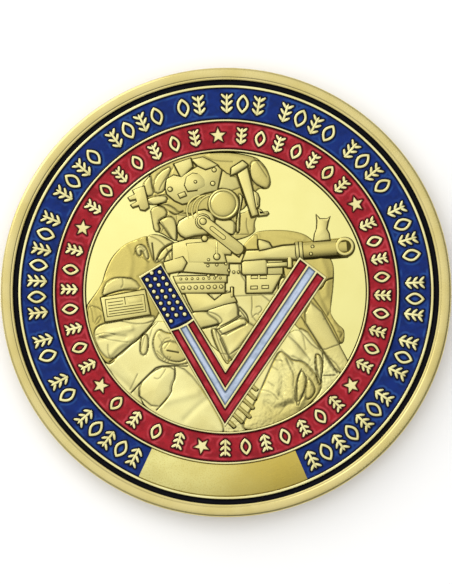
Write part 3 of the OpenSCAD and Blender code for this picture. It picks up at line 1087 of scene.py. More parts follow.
# height of the fold (less than 0 for a crease), width, line
FOLDS = {
    "sleeve": [
        (0.05, 0.35, [(-10.6, 0.9), (-9.9, 1.3), (-8.9, 1.1)]),
        (0.05, 0.3, [(-9, 4.2), (-8.4, 2.9), (-8.6, 1.4)]),
        (0.04, 0.25, [(-7.9, 4.4), (-7.2, 3.4), (-7.1, 2.2)]),
        (-0.06, 0.25, [(-11.6, -0.9), (-11.3, -2.3), (-10.9, -3.2)]),
    ],
    "sleeve_low": [
        (0.06, 0.25, [(-11.1, -3.9), (-9.8, -3.6), (-8.4, -3.3)]),
        (-0.05, 0.2, [(-11.2, -4.3), (-10, -4), (-8.9, -4.1)]),
        (0.05, 0.25, [(-10.2, -5.6), (-9.6, -4.9), (-8.2, -4.2)]),
    ],
    "legs": [
        (0.06, 0.5, [(-9.6, -6), (-8.4, -7.6), (-6.6, -9.2)]),
        (-0.05, 0.3, [(-10.2, -7.2), (-8.6, -8.6), (-7.2, -10.4)]),
        (0.05, 0.4, [(4.6, -3), (5.6, -4.4), (6.4, -5.8)]),
        (-0.05, 0.25, [(5.2, -2.9), (6.2, -4.2), (7.2, -5.6)]),
        (0.05, 0.3, [(3.6, -5), (4.6, -5.4), (5.8, -5.7)]),
    ],
    "back": [
        (0.05, 0.4, [(2.6, 4.6), (4.6, 4.9), (6.8, 4.6)]),
        (-0.05, 0.3, [(3.2, 4.9), (5.4, 4.7), (7, 4.2)]),
        (0.05, 0.35, [(8.4, 3), (9, 1.4), (8.8, -0.4)]),
        (-0.05, 0.25, [(8, 0.8), (8.7, -0.8), (9.2, -2)]),
        (0.05, 0.25, [(9.5, -2.9), (9.9, -3.4), (10.1, -4.4)]),
    ],
    "bag": [
        (0.07, 0.4, [(5.2, -6.2), (5.9, -7.4), (5.8, -9.4)]),
        (-0.07, 0.3, [(4.6, -6), (5.1, -7.6), (4.9, -9.2)]),
        (0.06, 0.35, [(3, -9), (4.2, -8.9), (5, -9.8)]),
        (-0.08, 0.3, [(3.6, -10), (4.4, -10.6), (5.6, -10)]),
        (0.06, 0.3, [(6.6, -7.2), (7.1, -8.8), (6.4, -10.2)]),
    ],
    "helmet": [
        (-0.04, 0.25, [(-6.2, 10.9), (-5.2, 9.6), (-5, 8.2)]),
        (0.05, 0.3, [(-1.4, 12.1), (0.8, 12), (2.4, 11.6)]),
    ],
    "thigh": [
        (0.05, 0.4, [(-5.4, -9.8), (-4, -9.4), (-2.6, -9)]),
        (-0.04, 0.3, [(-3.6, -11.4), (-2.4, -10.2), (-1.6, -9.6)]),
    ],
    "forearm": [
        (0.05, 0.3, [(0.2, -5.8), (1, -4.8), (1.8, -3.9)]),
    ],
    "glove": [
        (-0.05, 0.12, [(-5.9, -4), (-5.4, -4.9), (-4.4, -5.6)]),
    ],
}
# how deep the line and how strong its painted shade, how wide, lines
CREASES = [
    (1, 0.07, [
        [(-4.65, 11.36), (-4.29, 10.82), (-3.92, 10.18)], [(-2.57, 11.18), (-1.84, 10.82), (-0.89, 11.04)],
        [(0.33, 10.27), (0.91, 10.59), (1.19, 9.73), (1.46, 8.83), (1.86, 7.74), (2.32, 6.66),
            (3.67, 6.88)], [(-7.18, 8.01), (-6.82, 7.51), (-5.28, 7.92)],
        [(-6.86, 7.11), (-6.68, 6.47), (-6.46, 5.75), (-6.41, 5.12)],
        [(-5.01, 7.11), (-4.51, 6.75), (-3.83, 7.11)],
        [(-6.91, 5.03), (-6.28, 5.07), (-5.82, 4.98), (-5.28, 4.67), (-4.65, 4.39)],
        [(-7.63, 9.46), (-7.32, 8.83), (-7.18, 8.46)],
        [(-2.84, 4.85), (-2.39, 5.03), (-1.66, 5.07), (-1.03, 4.58)],
        [(-2.06, -3.3), (-1.27, -3.13), (-0.53, -2.91)], [(3.71, 2.52), (5.29, 2.52)],
        [(1.56, 1.5), (3.6, 1.44)], [(-0.36, -0.14), (0.09, -0.03)], [(0.54, -0.93), (0.71, -0.65)],
        [(1.22, -1.44), (1.9, -2.12), (2.01, -2.8)], [(-0.81, -3.47), (0.54, -2.8), (1.33, -2.23)],
        [(9.36, -2), (9.53, -0.53), (9.64, 2.4)], [(7.89, 0.03), (8.57, 0.26), (8.91, 1.05), (10.27, 1.27)],
        [(-12.22, -1.13), (-11.65, -0.28), (-11.03, 0.74), (-10.75, 1.64)],
        [(-10.75, 1.64), (-10.18, 3), (-9.28, 4.01)],
        [(-10.3, -6.33), (-9.28, -5.48), (-8.15, -4.58), (-7.36, -4.01), (-6.79, -3.33), (-6.11, -2.54)],
        [(-8.37, -9.04), (-7.47, -8.08), (-6.56, -7.18), (-6, -6.67), (-3.4, -6.67)],
        [(-4.53, -6.67), (-4.47, -7.74), (-4.81, -8.42), (-4.87, -9.21), (-6.11, -10.57)],
        [(-10.97, -0.51), (-10.07, -0.17), (-8.94, 0.11), (-7.92, 0.06)], [(-6.56, 4.24), (-6.4, 2.77)],
        [(-6.23, 2.66), (-5.66, 3.68), (-4.76, 4.24)], [(-5.21, -5.31), (-4.19, -5.48)],
    ]),
    (0.55, 0.06, [
        [(-3.92, 10.09), (-3.83, 9.46), (-3.56, 8.74)],
        [(-5.91, 9.01), (-5.73, 9.46), (-5.37, 10), (-5.1, 10.41)],
        [(-6.64, 9.82), (-6.55, 9.19), (-6.28, 8.55)],
        [(-5.37, 8.83), (-5.19, 9.55), (-4.92, 10.36), (-4.69, 11.09)],
        [(-0.35, 10.91), (-0.44, 10.36), (-0.62, 9.73), (-0.8, 9.1)],
        [(-0.22, 10.77), (0.06, 10.41), (0.19, 10.23)], [(-3.11, 11.9), (-2.93, 11.27), (-3.02, 10.63)],
        [(-3.02, 10.63), (-3.56, 10.32), (-4.29, 10), (-5.01, 9.64)],
        [(-1.93, 12.08), (-1.21, 11.63), (0.6, 11.54)], [(1.46, 9.32), (1.86, 9.55), (2.32, 9.82)],
        [(1.73, 8.51), (2.18, 8.78), (2.5, 8.96)], [(2.77, 11.54), (3.31, 10.73), (3.67, 10.18)],
        [(2, 11), (2.23, 10), (2.5, 9.46)], [(2.5, 11.9), (3.13, 11.36), (3.67, 10.82), (3.94, 10.5)],
        [(-0.67, 9.32), (0.15, 9.82), (1.05, 10.27)], [(0.51, 8.92), (1.23, 9.28)],
        [(0.6, 8.83), (1.05, 8.55), (1.19, 7.92)], [(-7.09, 8.24), (-6.37, 8.46), (-5.28, 8.6)],
        [(-6, 6.29), (-5.64, 6.29), (-5.1, 6.7)],
        [(-5.78, 5.21), (-5.46, 5.75), (-5.1, 5.21), (-4.65, 4.48)], [(-5.73, 6.2), (-5.46, 5.66)],
        [(-4.38, 6.66), (-4.38, 5.57), (-4.42, 4.48)], [(-4.83, 8.28), (-4.29, 7.92), (-3.56, 7.79)],
        [(-3.43, 4.48), (-3.43, 3.94)], [(-3.38, 3.94), (-2.66, 4.17), (-1.66, 4.17)],
        [(-1.03, 4.48), (-1.03, 3.31)], [(-0.67, 4.3), (-0.67, 3.22)],
        [(0.69, 6.47), (0.78, 5.75), (0.69, 4.94)], [(1.14, 6.47), (1.19, 5.75), (1.05, 5.03)],
        [(1.86, 6.47), (1.82, 5.75), (2.04, 5.12)], [(2.59, 6.29), (2.5, 5.75), (2.5, 5.03)],
        [(0.6, 5.03), (2.77, 5.03)], [(2.81, 4.94), (2.86, 3.85)],
        [(2.99, 4.48), (3.85, 4.48), (4.03, 3.85)], [(0.87, 4.3), (1.68, 3.76)],
        [(-7.99, 3.31), (-7.9, 3.76), (-7.54, 4.03), (-7.18, 3.85)],
        [(-7.59, 2.95), (-7.41, 3.31), (-7.18, 3.67)],
    ]),
    (0.6, 0.055, [
        [(-2.79, 1.56), (0.09, 1.56)], [(1.73, 1.33), (1.73, -0.08)], [(0.71, -0.48), (4.33, -0.31)],
        [(0.54, -0.93), (0.77, -0.53)], [(0.43, -0.08), (0.09, -0.03)],
        [(-4.03, 3.14), (-3.75, 3.37), (-2.96, 3.14)], [(-1.04, 4.67), (-1.04, 3.54), (-0.87, 3.08)],
        [(-0.42, 4.33), (-0.42, 3.31)], [(-0.02, 3.31), (0.54, 3.37), (1.11, 3.08)],
        [(2.35, 3.54), (2.24, 2.86)], [(-3.3, 3.76), (-1.83, 4.1)],
        [(-3.3, 4.67), (-3.3, 3.99), (-2.96, 3.54)], [(-1.72, 3.42), (-0.13, 3.37)],
        [(-3.41, -0.36), (-3.3, -1.21)], [(-1.27, -0.36), (-1.04, -0.87), (-1.27, -1.44), (-1.94, -1.89)],
        [(2.3, -0.42), (2.35, -1.44), (2.24, -2.12), (2.69, -2.68)],
        [(2.69, -1.44), (3.03, -1.33), (3.26, -1.66), (2.92, -2)],
        [(2.35, -2.34), (2.69, -2), (2.92, -2.12)], [(4.39, 0.14), (4.39, 0.94), (4.73, 1.27)],
    ]),
    (0.5, 0.07, [
        [(-10.46, 0.68), (-9.96, 1.08), (-9.05, 1.19)], [(-9.16, 1.19), (-9.11, 0.51), (-9.28, 0.28)],
        [(-12.1, -1.19), (-11.88, -1.86), (-11.77, -2.77)],
        [(-11.65, -2.88), (-11.31, -2.32), (-11.09, -2.2), (-11.2, -2.77), (-11.54, -2.99)],
        [(-11.54, -3.96), (-10.75, -3.67), (-9.84, -3.9)], [(-11.2, -4.12), (-10.3, -4.35), (-8.71, -4.58)],
        [(-10.46, -4.8), (-10.46, -5.71), (-10.18, -6.1)], [(-7.58, -5.37), (-7.24, -4.12), (-6.9, -3.33)],
        [(-6.56, -3.33), (-6.11, -2.88), (-5.89, -2.54)], [(-7.02, -5.71), (-6.9, -4.58), (-6.56, -3.45)],
        [(-6.34, -7.74), (-5.89, -7.86), (-5.32, -6.95)], [(-8.49, -8.76), (-7.81, -7.4)],
        [(-5.89, -5.03), (-5.43, -4.24), (-4.98, -4.18)], [(-5.43, -5.14), (-4.87, -4.35)],
        [(-6.11, -5.59), (-5.66, -6.05)], [(-5.66, -6.22), (-5.43, -5.88)],
        [(-5.38, -6.27), (-5.15, -5.88)], [(-5.1, -6.33), (-4.93, -5.93)], [(-6.11, -5.37), (-5.66, -5.71)],
        [(-8.15, 3.22), (-7.92, 3.79), (-7.47, 3.9), (-7.24, 3.56), (-7.7, 3)], [(-7.47, 3), (-6.79, 2.55)],
    ]),
    (0.8, 0.07, [
        [(9.52, 0.04), (9.26, -1.91), (9.86, -2.85), (10.53, -3.36), (10.53, -4.63), (10.03, -4.67)],
        [(7.65, -0.47), (9.26, -2.68), (10.79, -6.07)],
        [(6.72, -2.34), (7.99, -4.37), (9.01, -5.9), (9.86, -7.26)],
        [(0.87, -0.98), (1.08, -1.49), (1.08, -2.17)], [(1.17, -1.66), (1.63, -2.17), (1.97, -2.85)],
        [(-0.49, -3.95), (0.53, -3.53), (1.55, -3.02)], [(-0.49, -3.19), (0.36, -2.76), (1.21, -2.17)],
        [(-0.49, -4.29), (0.02, -5.39), (0.53, -6.15)],
        [(6.72, -6.92), (6.38, -7.59), (6.25, -8.44), (6.29, -10.14)],
        [(7.14, -7.59), (7.06, -8.53), (6.72, -9.38), (6.42, -10.14)],
        [(7.99, -5.64), (7.95, -6.41), (8.16, -7.59), (8.41, -8.1)],
        [(8.58, -5.48), (8.63, -6.41), (8.37, -8.1)], [(8.67, -7.51), (9.69, -7.47)],
    ]),
    (0.45, 0.1, [
        [(4.94, -5.22), (5.62, -5.9), (5.96, -6.41)],
        [(5.36, -5.98), (5.7, -6.75), (6.04, -7.43), (5.96, -8.44)], [(4.26, -6.07), (4.94, -6.24)],
        [(5.87, -5.81), (6.72, -6.15), (7.82, -7.34)],
        [(5.62, -4.03), (6.21, -4.54), (6.97, -5.39), (7.48, -6.15)],
        [(6.63, -3.36), (6.89, -4.03), (7.06, -5.22)], [(2.9, -8.78), (3.92, -8.87), (4.6, -9.63)],
        [(4.77, -10.82), (5.36, -10.05), (5.96, -9.97)], [(7.14, -7.43), (7.65, -8.02), (7.82, -8.53)],
        [(4.09, -6.75), (4.6, -7)], [(3.75, -8.1), (4.26, -8.44)],
        [(8.75, -2.51), (9.18, -2), (9.26, -1.66)], [(7.65, -0.47), (8.08, -1.07)],
        [(9.94, -3.61), (10.45, -3.69), (10.03, -4.29)],
    ]),
]
# outline, height above the field, bevel, tilt along x and y
GEAR = {
    "helmet_gear": [
        ([(-4.6, 11.33), (-3.18, 11.83), (-2.98, 11.09), (-3.5, 10.54),
            (-4, 10.14)], 0.4, 0.05, (0.02, 0.03)),
        ([(-3.04, 11.7), (-2.07, 11.94), (-1.35, 11.59), (-0.77, 11.22), (-1.35, 10.99), (-1.83, 10.85),
            (-2.5, 11.16)], 0.44, 0.05, (0, -0.04)),
        ([(-5.27, 9.96), (-4.65, 10.32), (-3.99, 10.14), (-3.41, 10.54), (-2.53, 11.11), (-1.82, 10.78),
            (-0.8, 11.16), (-0.4, 10.78), (-0.58, 9.96), (-0.79, 8.99), (-1.91, 8.72), (-2.79, 8.32),
            (-3.32, 7.88), (-3.86, 7.75), (-4.56, 8.06), (-5.23, 8.63),
            (-5.38, 9.16)], 0.38, 0.07, (0.01, 0.02)),
        ([(-3.5, 10.14), (-2.97, 10.49), (-2.35, 10.41), (-1.91, 9.96), (-1.82, 9.34), (-2.61, 8.99),
            (-3.41, 8.9), (-3.68, 9.43)], 0.43, 0.06, (-0.03, 0.02)),
        ([(-4.25, 8.61), (-3.71, 8.83), (-3.56, 8.51), (-4.09, 8.3)], 0.41, 0.04, (0, 0.05)),
        ([(-0.31, 10.76), (0.04, 10.49), (0.93, 10.14), (1.29, 9.25), (0.49, 8.94), (-0.4, 9.16),
            (-0.66, 9.16)], 0.3, 0.06, (-0.05, 0.03)),
        ([(0.97, 10.52), (1.91, 11.09), (2.88, 6.79), (2.29, 6.6)], 0.36, 0.14, (0, 0)),
        ([(0.49, 10.97), (1.47, 11.61), (1.94, 11.24), (1.68, 10.98), (0.97, 10.52),
            (0.44, 10.32)], 0.42, 0.08, (-0.03, 0.04)),
        ([(2.44, 8.9), (2.79, 8.72), (2.97, 8.28), (2.93, 7.57), (2.7, 7.39)], 0.38, 0.05, (-0.05, 0)),
        ([(2.79, 7.35), (3.06, 7.26), (3.28, 7.01), (3.68, 7.07), (3.77, 6.93), (3.63, 6.79),
            (2.88, 6.7)], 0.3, 0.05, (0, 0)),
        ([(-7.67, 9.25), (-7.31, 9.34), (-6.87, 7.48), (-7.22, 7.21), (-7.62, 7.28), (-7.76, 7.66),
            (-8.3, 7.48), (-8.46, 7.69), (-7.93, 7.97), (-8.02, 8.23), (-8.55, 8.1), (-8.7, 8.34),
            (-8.11, 8.63), (-8.29, 8.99)], 0.26, 0.06, (0.03, 0)),
    ],
    "sight": [
        ([(-4.34, 5.71), (-4.17, 6.2), (-3.59, 6.56), (-2.84, 6.82), (-2.53, 7.11), (-1.91, 7.23),
            (-1.29, 6.95), (-1.02, 6.42), (-1.15, 5.71), (-1.68, 5.05), (-2.84, 4.91), (-3.59, 4.71),
            (-4.03, 4.95), (-4.3, 5.31)], 0.33, 0.12, (0.01, 0.02)),
    ],
    "gun": [
        ([(-4.74, 4.2), (-3.32, 4.6), (-1.02, 4.73), (0.58, 3.94), (1.82, 3.05), (5.01, 3.05), (5.01, 1.28),
            (1.82, 1.28), (1.82, 2.52), (0.22, 2.52), (0.22, 1.45), (-4.74, 1.81)], 0.27, 0.05, (0, 0.02)),
        ([(-3.5, 4.2), (-1.55, 4.38), (-1.02, 3.94), (-0.31, 3.85), (0.04, 2.52), (-3.32, 2.52),
            (-3.41, 3.4)], 0.33, 0.06, (0.01, 0.03)),
        ([(-4.65, 1.28), (0.04, 1.36), (0.04, 0.79), (-4.43, 0.7)], 0.31, 0.04, (0, 0.05)),
        ([(-4.39, 0.66), (-0.13, 0.74), (-0.13, -0.14), (-3.94, -0.19)], 0.29, 0.05, (0, 0.05)),
        ([(-3.62, -0.23), (-1.73, -0.23), (-1.02, -0.85), (-0.31, -0.32), (0.49, -0.1), (0.93, -0.94),
            (-0.13, -1.21), (-1.73, -1.74), (-2.9, -1.8), (-3.35, -0.95)], 0.25, 0.08, (0, 0.04)),
        ([(1.42, 2.47), (1.6, 2.62), (3.46, 2.77), (3.62, 2.61), (3.63, 1.5), (1.55, 1.45),
            (1.42, 1.63)], 0.36, 0.07, (-0.02, 0.03)),
        ([(3.59, 2.45), (5.42, 2.57), (5.42, 2.2), (3.59, 2.12)], 0.34, 0.08, (0, 0)),
        ([(5.49, 2.96), (5.72, 3.05), (5.83, 2.87), (5.83, 2.09), (5.49, 2.09)], 0.35, 0.05, (0, 0)),
        ([(1.82, 1.36), (4.92, 1.45), (4.48, 0.57), (4.08, -0.14), (1.82, -0.17)], 0.31, 0.05, (0, 0.03)),
        ([(1.77, 3.62), (3.36, 3.67), (5.01, 4.04), (6.34, 4.15), (6.34, 2.8), (3.59, 2.77),
            (1.37, 2.61)], 0.34, 0.16, (0, 0.03)),
        ([(2.88, 4.56), (3.32, 4.47), (3.81, 4.29), (4.08, 3.85), (2.97, 3.62),
            (2.86, 4.11)], 0.38, 0.08, (-0.04, 0.02)),
        ([(8.02, 6.82), (8.33, 6.43), (9, 6.42), (9.25, 6.66), (9.05, 6.15), (8.93, 5.53), (9.14, 5.13),
            (9.22, 4.56), (7.79, 4.42), (7.89, 5.09), (8.07, 5.53),
            (8.11, 6.24)], 0.34, 0.08, (0.03, 0.02)),
        ([(-0.04, 5.02), (1.66, 3.84), (1.14, 3.05), (-0.49, 4.2)], 0.37, 0.06, (0, 0.04)),
        ([(-1.73, 4.6), (-0.31, 4.6), (0.58, 3.85), (0.4, 3.23), (-1.2, 3.31),
            (-1.73, 3.85)], 0.35, 0.05, (0.03, 0.04)),
        ([(-5.54, 2.52), (-3.86, 3.05), (-3.5, 2.52), (-3.86, 1.81),
            (-5.27, 1.55)], 0.3, 0.07, (0.04, 0.02)),
    ],
    "sleeve_patch": [
        ([(-11.1, -0.62), (-7.2, 0.12), (-6.72, -2.09), (-10.7, -2.74)], 0.36, 0.07, (0, 0)),
    ],
}

cell = 0.048
reach = field_r + 0.02
count = int(2 * reach / cell)
axis = np.linspace(-reach, reach, count + 1)
grid_x, grid_y = np.meshgrid(axis, axis)
height = np.full(grid_x.shape, under_field - field_top)
dim_tone_and_shade = np.zeros(grid_x.shape)
outlines = {}
for name, (base, crown, soft, ramp, dimness, corners) in FORMS.items():
    outline = softened(corners, 1 if name in ANGULAR else 2)
    outlines[name] = outline
    window = window_on(outline, 0.6)
    x, y = grid_x[window], grid_y[window]
    inside = depth_in(x, y, outline)
    top = base + crown * (1 - np.exp(-np.maximum(inside, 0) / soft))
    for rise, width, line in FOLDS.get(name, []):
        far = away(x, y, softened_line(line))
        top = top + rise * np.exp(-((far / width) ** 2))
    cover = eased(inside / ramp + 0.5)
    under = height[window] - 0.035 * np.exp(-((inside / 0.09) ** 2)) * (inside < 0)
    height[window] = under * (1 - cover) + top * cover
    dim_tone_and_shade[window] = dim_tone_and_shade[window] * (1 - cover) + dimness * cover


def blurred(field, cells):
    kernel = np.exp(-((np.arange(-3 * cells, 3 * cells + 1) / cells) ** 2))
    kernel /= kernel.sum()
    out = np.apply_along_axis(lambda line: np.convolve(line, kernel, mode="same"), 0, field)
    return np.apply_along_axis(lambda line: np.convolve(line, kernel, mode="same"), 1, out)


def roughness_map(seed, cells):
    """Even, seeded roughness of one size, about -1 to 1."""
    field = blurred(np.random.default_rng(seed).standard_normal(height.shape), cells)
    return np.clip(field / (2 * field.std()), -1.2, 1.2)


rough = 0.6 * roughness_map(3, 2) + 0.4 * roughness_map(5, 5)
in_bag = eased(depth_in(grid_x, grid_y, outlines["bag"]) / 0.8)
on_ground = np.exp(-(((grid_x - 8.6) / 2.0) ** 2 + ((grid_y + 7.2) / 1.6) ** 2))
low_ground = eased((-grid_y - 10.6) / 0.8) * (grid_x > -0.2)
rough_share = np.maximum(np.maximum(0.62 * in_bag, on_ground), 0.8 * low_ground)
cloth = 0.12 * (dim_tone_and_shade > 0.5)
height = height + 0.030 * rough * np.maximum(rough_share, cloth)
# Painted shade: the bag's gold is dimmed more towards its lower right.
shade_lower_right = eased((grid_x - grid_y - 11.5) / 7.0)
dim_tone_and_shade = np.where(in_bag > 0.05, 0.2 + 0.6 * shade_lower_right, dim_tone_and_shade)
chevron_line = outline_of(0.0, 1.0, -1.0, 1.0)
from_chevron = depth_in(grid_x, grid_y, np.array(chevron_line))
radius = np.hypot(grid_x, grid_y)
ceiling = 0.30 + 0.16 * np.clip(-from_chevron, 0, 2)
ceiling = np.minimum(ceiling, 0.28 + 0.25 * np.clip(field_r - radius, 0, 1))
height = np.minimum(height, ceiling)
height = np.where(from_chevron > 0.08, under_field - field_top, height)
solid = height > 0.0
sunk_line_shade = np.zeros(height.shape)


def sunk_shaded_line(strength, width, line, closed=False, outside_only=False):
    """A sunk line in the relief, with painted shade along it."""
    line = np.asarray(line, dtype=float)
    window = window_on(line, 3 * width)
    far = away(grid_x[window], grid_y[window], line, closed)
    if outside_only:
        far = np.where(within(grid_x[window], grid_y[window], line), 0.0, far)
    mark = strength * np.exp(-((far / width) ** 2))
    sunk_line_shade[window] = np.maximum(sunk_line_shade[window], mark)


for strength, width, lines in CREASES:
    for line in lines:
        sunk_shaded_line(strength, width, softened_line(line))
# Painted shade outlines: round the foot of each gear plate, outside it, and round each soft form.
for plates in GEAR.values():
    for outline, rise, bevel, tilt in plates:
        sunk_shaded_line(0.7, 0.09, outline, closed=True, outside_only=True)
for outline in outlines.values():
    sunk_shaded_line(0.62, 0.07, outline, closed=True)
sunk_line_shade = np.where(from_chevron > 0.0, 0.0, sunk_line_shade)
height = np.where(solid, np.maximum(height - 0.05 * sunk_line_shade, -0.02), height)
# Painted shade in the relief's concave places and along its sunk lines.
painted_shade = np.clip(0.5 * (blurred(height, 4) - height) / 0.05, 0, 0.6)
painted_shade = np.clip(np.maximum(painted_shade, 0.95 * sunk_line_shade), 0, 1)


def relief_piece(name, row_from, row_to):
    """Part of the relief: a grid whose vertices are pushed up to the modelled height, the rest cut away."""
    piece, points, column, row = gridded(count, row_to - row_from)
    row += row_from
    points[:, 0] = axis[column]
    points[:, 1] = axis[row]
    points[:, 2] = field_top + height[row, column]
    put_coords(piece, points)
    note(piece, "painted_shade", painted_shade[row, column])
    note(piece, "dim_tone_and_shade", dim_tone_and_shade[row, column])
    open_mesh(piece)

    def hidden(vertex):
        return vertex.co.z < field_top - 0.03 or vertex.co.xy.length > field_r + 0.03

    mark(piece, "faces", lambda face: all(hidden(vertex) for vertex in face.verts))
    bpy.ops.mesh.select_mode(type="FACE")
    bpy.ops.mesh.delete(type="FACE")
    close_mesh()
    in_gold(piece, name, relief_gold, 70)


strips = [0, count * 3 // 10, count // 2, count * 7 // 10, count]
for k, name in enumerate(("relief_lower", "relief_middle_lower", "relief_middle_upper", "relief_upper")):
    relief_piece(name, strips[k], strips[k + 1])

# ---------------------------------------------------------------- hard gear of the relief
def helmet_trim():
    """Screws, lens, ribs and bands round the sight."""
    lens = [
        (0.0, 0.465), (0.35, 0.462), (0.7, 0.445), (0.95, 0.415), (1.08, 0.38), (1.12, 0.355), (1.15, 0.385),
        (1.20, 0.42), (1.27, 0.425), (1.33, 0.40), (1.37, 0.34), (1.38, -0.08), (0.0, -0.08),
    ]
    lens_form = turned([(r, field_top + h) for r, h in lens], 96)
    glass = np.hypot(*coords(lens_form)[:, :2].T) < 1.0
    note(lens_form, "dim_tone_and_shade", 0.5 * glass)
    # The lens stands in a wider disc with painted shade, and the screws in rings of it.
    made = [shifted(lens_form, -0.23, 7.74), shade_painted(disc((-0.20, 7.70), 1.45, field_top + 0.31, 0.0, count=60))]
    rib = [(1.30, 0.05), (1.45, 0.05), (1.46, 0.33), (1.42, 0.37), (1.36, 0.37), (1.31, 0.33)]
    for k in range(3):
        arc = turned([(r, field_top + h + 0.02 * k) for r, h in rib], 30, 100, 110, closed=True)
        made.append(shifted(arc, -2.10 + 0.45 * k, 7.15))
    for spot in ((-4.98, 9.05), (-1.05, 10.79), (-1.17, 9.57)):
        made += screw(spot, 0.17, 0.455)
    made += screw((-2.72, 9.72), 0.10, 0.475, 0.03, count=14)
    return made


def sight_trim():
    """The slotted lever with its pivot, and the small nut below it."""
    pivot, tip = (-2.04, 6.18), (1.05, 3.75)
    slot = ((-1.25, 5.56), (-0.22, 4.74))
    # Each part lies on a slightly wider copy with painted shade, which outlines it; the slot is coloured with
    # painted shade too.
    made = [
        shade_painted(plate(capsule(pivot, tip, 0.57), field_top + 0.40, 0.0)),
        plate(capsule(pivot, tip, 0.50), field_top + 0.43, 0.05),
        shade_painted(plate(capsule(*slot, 0.22), field_top + 0.434, 0.0)),
        plate(capsule(*slot, 0.15), field_top + 0.438, 0.0),
        shade_painted(disc(pivot, 0.72, field_top + 0.385, 0.0)),
        disc(pivot, 0.66, field_top + 0.40, 0.05),
    ]
    return made + screw(pivot, 0.27, 0.465, 0.06) + screw((-1.89, 4.67), 0.24, 0.41, 0.07)


def gun_trim():
    """Muzzle, barrel collar, holes, rail and the small dots of the receiver."""
    # Painted shade: a wider bar under the barrel, the collars, a ring round the muzzle and its inside, and
    # outlines round the screws, dots, vents and rail.
    made = [shade_painted(round_bar((6.14, 3.44), (10.78, 3.86), 0.90, 0.34, 0.02, 0.95))]
    barrel = round_bar((6.2, 3.53), (10.75, 3.95), 0.84, 0.42, 0.06, 0.95)
    # Painted shade: the barrel's gold is dimmed against the highlight on its rounded top.
    note(barrel, "dim_tone_and_shade", np.full(len(barrel.data.vertices), 0.7))
    made.append(barrel)
    for at, wide in ((6.16, 0.86), (6.47, 0.90), (6.80, 0.87)):
        spot = (at, 3.53 + (at - 6.2) * 0.092)
        made.append(shade_painted(round_bar(spot, (at + 0.07, spot[1] + 0.006), wide, 0.44, 0.01)))
    made.append(round_bar((6.22, 3.53), (6.47, 3.55), 0.90, 0.45, 0.05))
    made.append(round_bar((6.54, 3.56), (6.80, 3.58), 0.90, 0.45, 0.05))
    mouth = [
        (0.0, 0.24), (0.42, 0.26), (0.50, 0.30), (0.54, 0.40), (0.60, 0.46), (0.72, 0.47), (0.80, 0.44),
        (0.84, 0.36), (0.84, -0.08), (0.0, -0.08),
    ]
    made += [
        shade_painted(disc((10.57, 3.90), 0.91, field_top + 0.36, 0.0, count=40)),
        shifted(turned([(r, field_top + h) for r, h in mouth], 64), 10.55, 3.95),
        shade_painted(disc((10.55, 3.95), 0.46, field_top + 0.275, 0.0)),
        disc((10.60, 3.97), 0.36, field_top + 0.30, 0.08),
    ]
    for spot in ((7.69, 3.93), (7.55, 3.29)):
        made += screw(spot, 0.11, 0.435, count=16)
    dots = ((-1.55, 2.77), (-1.6, 2.24), (-0.81, 2.31), (0.0, 2.4), (0.26, 1.82), (0.69, 1.67), (1.11, 1.67))
    for spot in dots:
        made += screw(spot, 0.09, 0.385, 0.03, 0.01, 12, 0.05)
    for k in range(7):
        made += screw((-3.81 + 0.565 * k, 0.26 + 0.018 * k), 0.14, 0.35, 0.04, 0.015, 14, 0.06)
    for k in range(8):
        made += screw((-4.0 + 0.5 * k, 1.05 + 0.012 * k), 0.08, 0.36, 0.03, 0.01, 12, 0.05)
    for spot in ((-1.55, 1.33), (-0.87, 1.33)):
        made += screw(spot, 0.11, 0.37, 0.04, 0.015, 12, 0.05)
    for x, y in ((2.52, 1.22), (3.31, 1.22), (2.49, 0.29), (3.48, 0.34)):
        for half_x, half_y, rise, shaded in ((0.33, 0.18, 0.352, True), (0.25, 0.10, 0.362, False)):
            edge = [(x - half_x, y - half_y), (x + half_x, y - half_y + 0.02), (x + half_x, y + half_y),
                    (x - half_x, y + half_y - 0.02)]
            form = plate(edge, field_top + rise, 0.0)
            made.append(shade_painted(form) if shaded else form)
    made.append(shade_painted(round_bar((-0.83, 3.05), (-0.83, 4.38), 0.28, 0.385, 0.02)))
    made.append(round_bar((-0.80, 3.1), (-0.80, 4.4), 0.20, 0.41))
    made += screw((-0.81, 3.03), 0.26, 0.43, 0.09, 0.04)
    made.append(shade_painted(round_bar((0.54, -0.58), (0.54, 0.38), 0.23, 0.31, 0.04)))
    made.append(round_bar((0.54, -0.50), (0.54, 0.35), 0.17, 0.335, 0.10))
    return made


def patch_trim():
    """A sewn border with plain bars and one plain block; the border and bars are narrow raised strips with
    painted shade, drawn as sunk lines are.
    """
    left_top, right_top = Vector((-10.72, -0.80)), Vector((-7.28, -0.32))
    down = Vector((0.20, -1.52))

    def spot(across, low):
        return left_top.lerp(right_top, across) + down * low

    lines = [(0, 0, 1, 0), (1, 0, 1, 1), (1, 1, 0, 1), (0, 1, 0, 0), (0.5, 0, 0.5, 0.42)]
    lines += [(0.06, y, 0.44, y) for y in (0.2, 0.38)] + [(0.06, y, 0.94, y) for y in (0.55, 0.71, 0.86)]
    made = []
    for x_from, y_from, x_to, y_to in lines:
        edge = capsule(spot(x_from, y_from), spot(x_to, y_to), 0.035, 3)
        made.append(shade_painted(plate(edge, field_top + 0.392, 0.0)))
    block = [tuple(spot(x, y)) for x, y in ((0.58, 0.12), (0.93, 0.12), (0.93, 0.4), (0.58, 0.4))]
    made.append(plate(block, field_top + 0.405, 0.02))
    return made


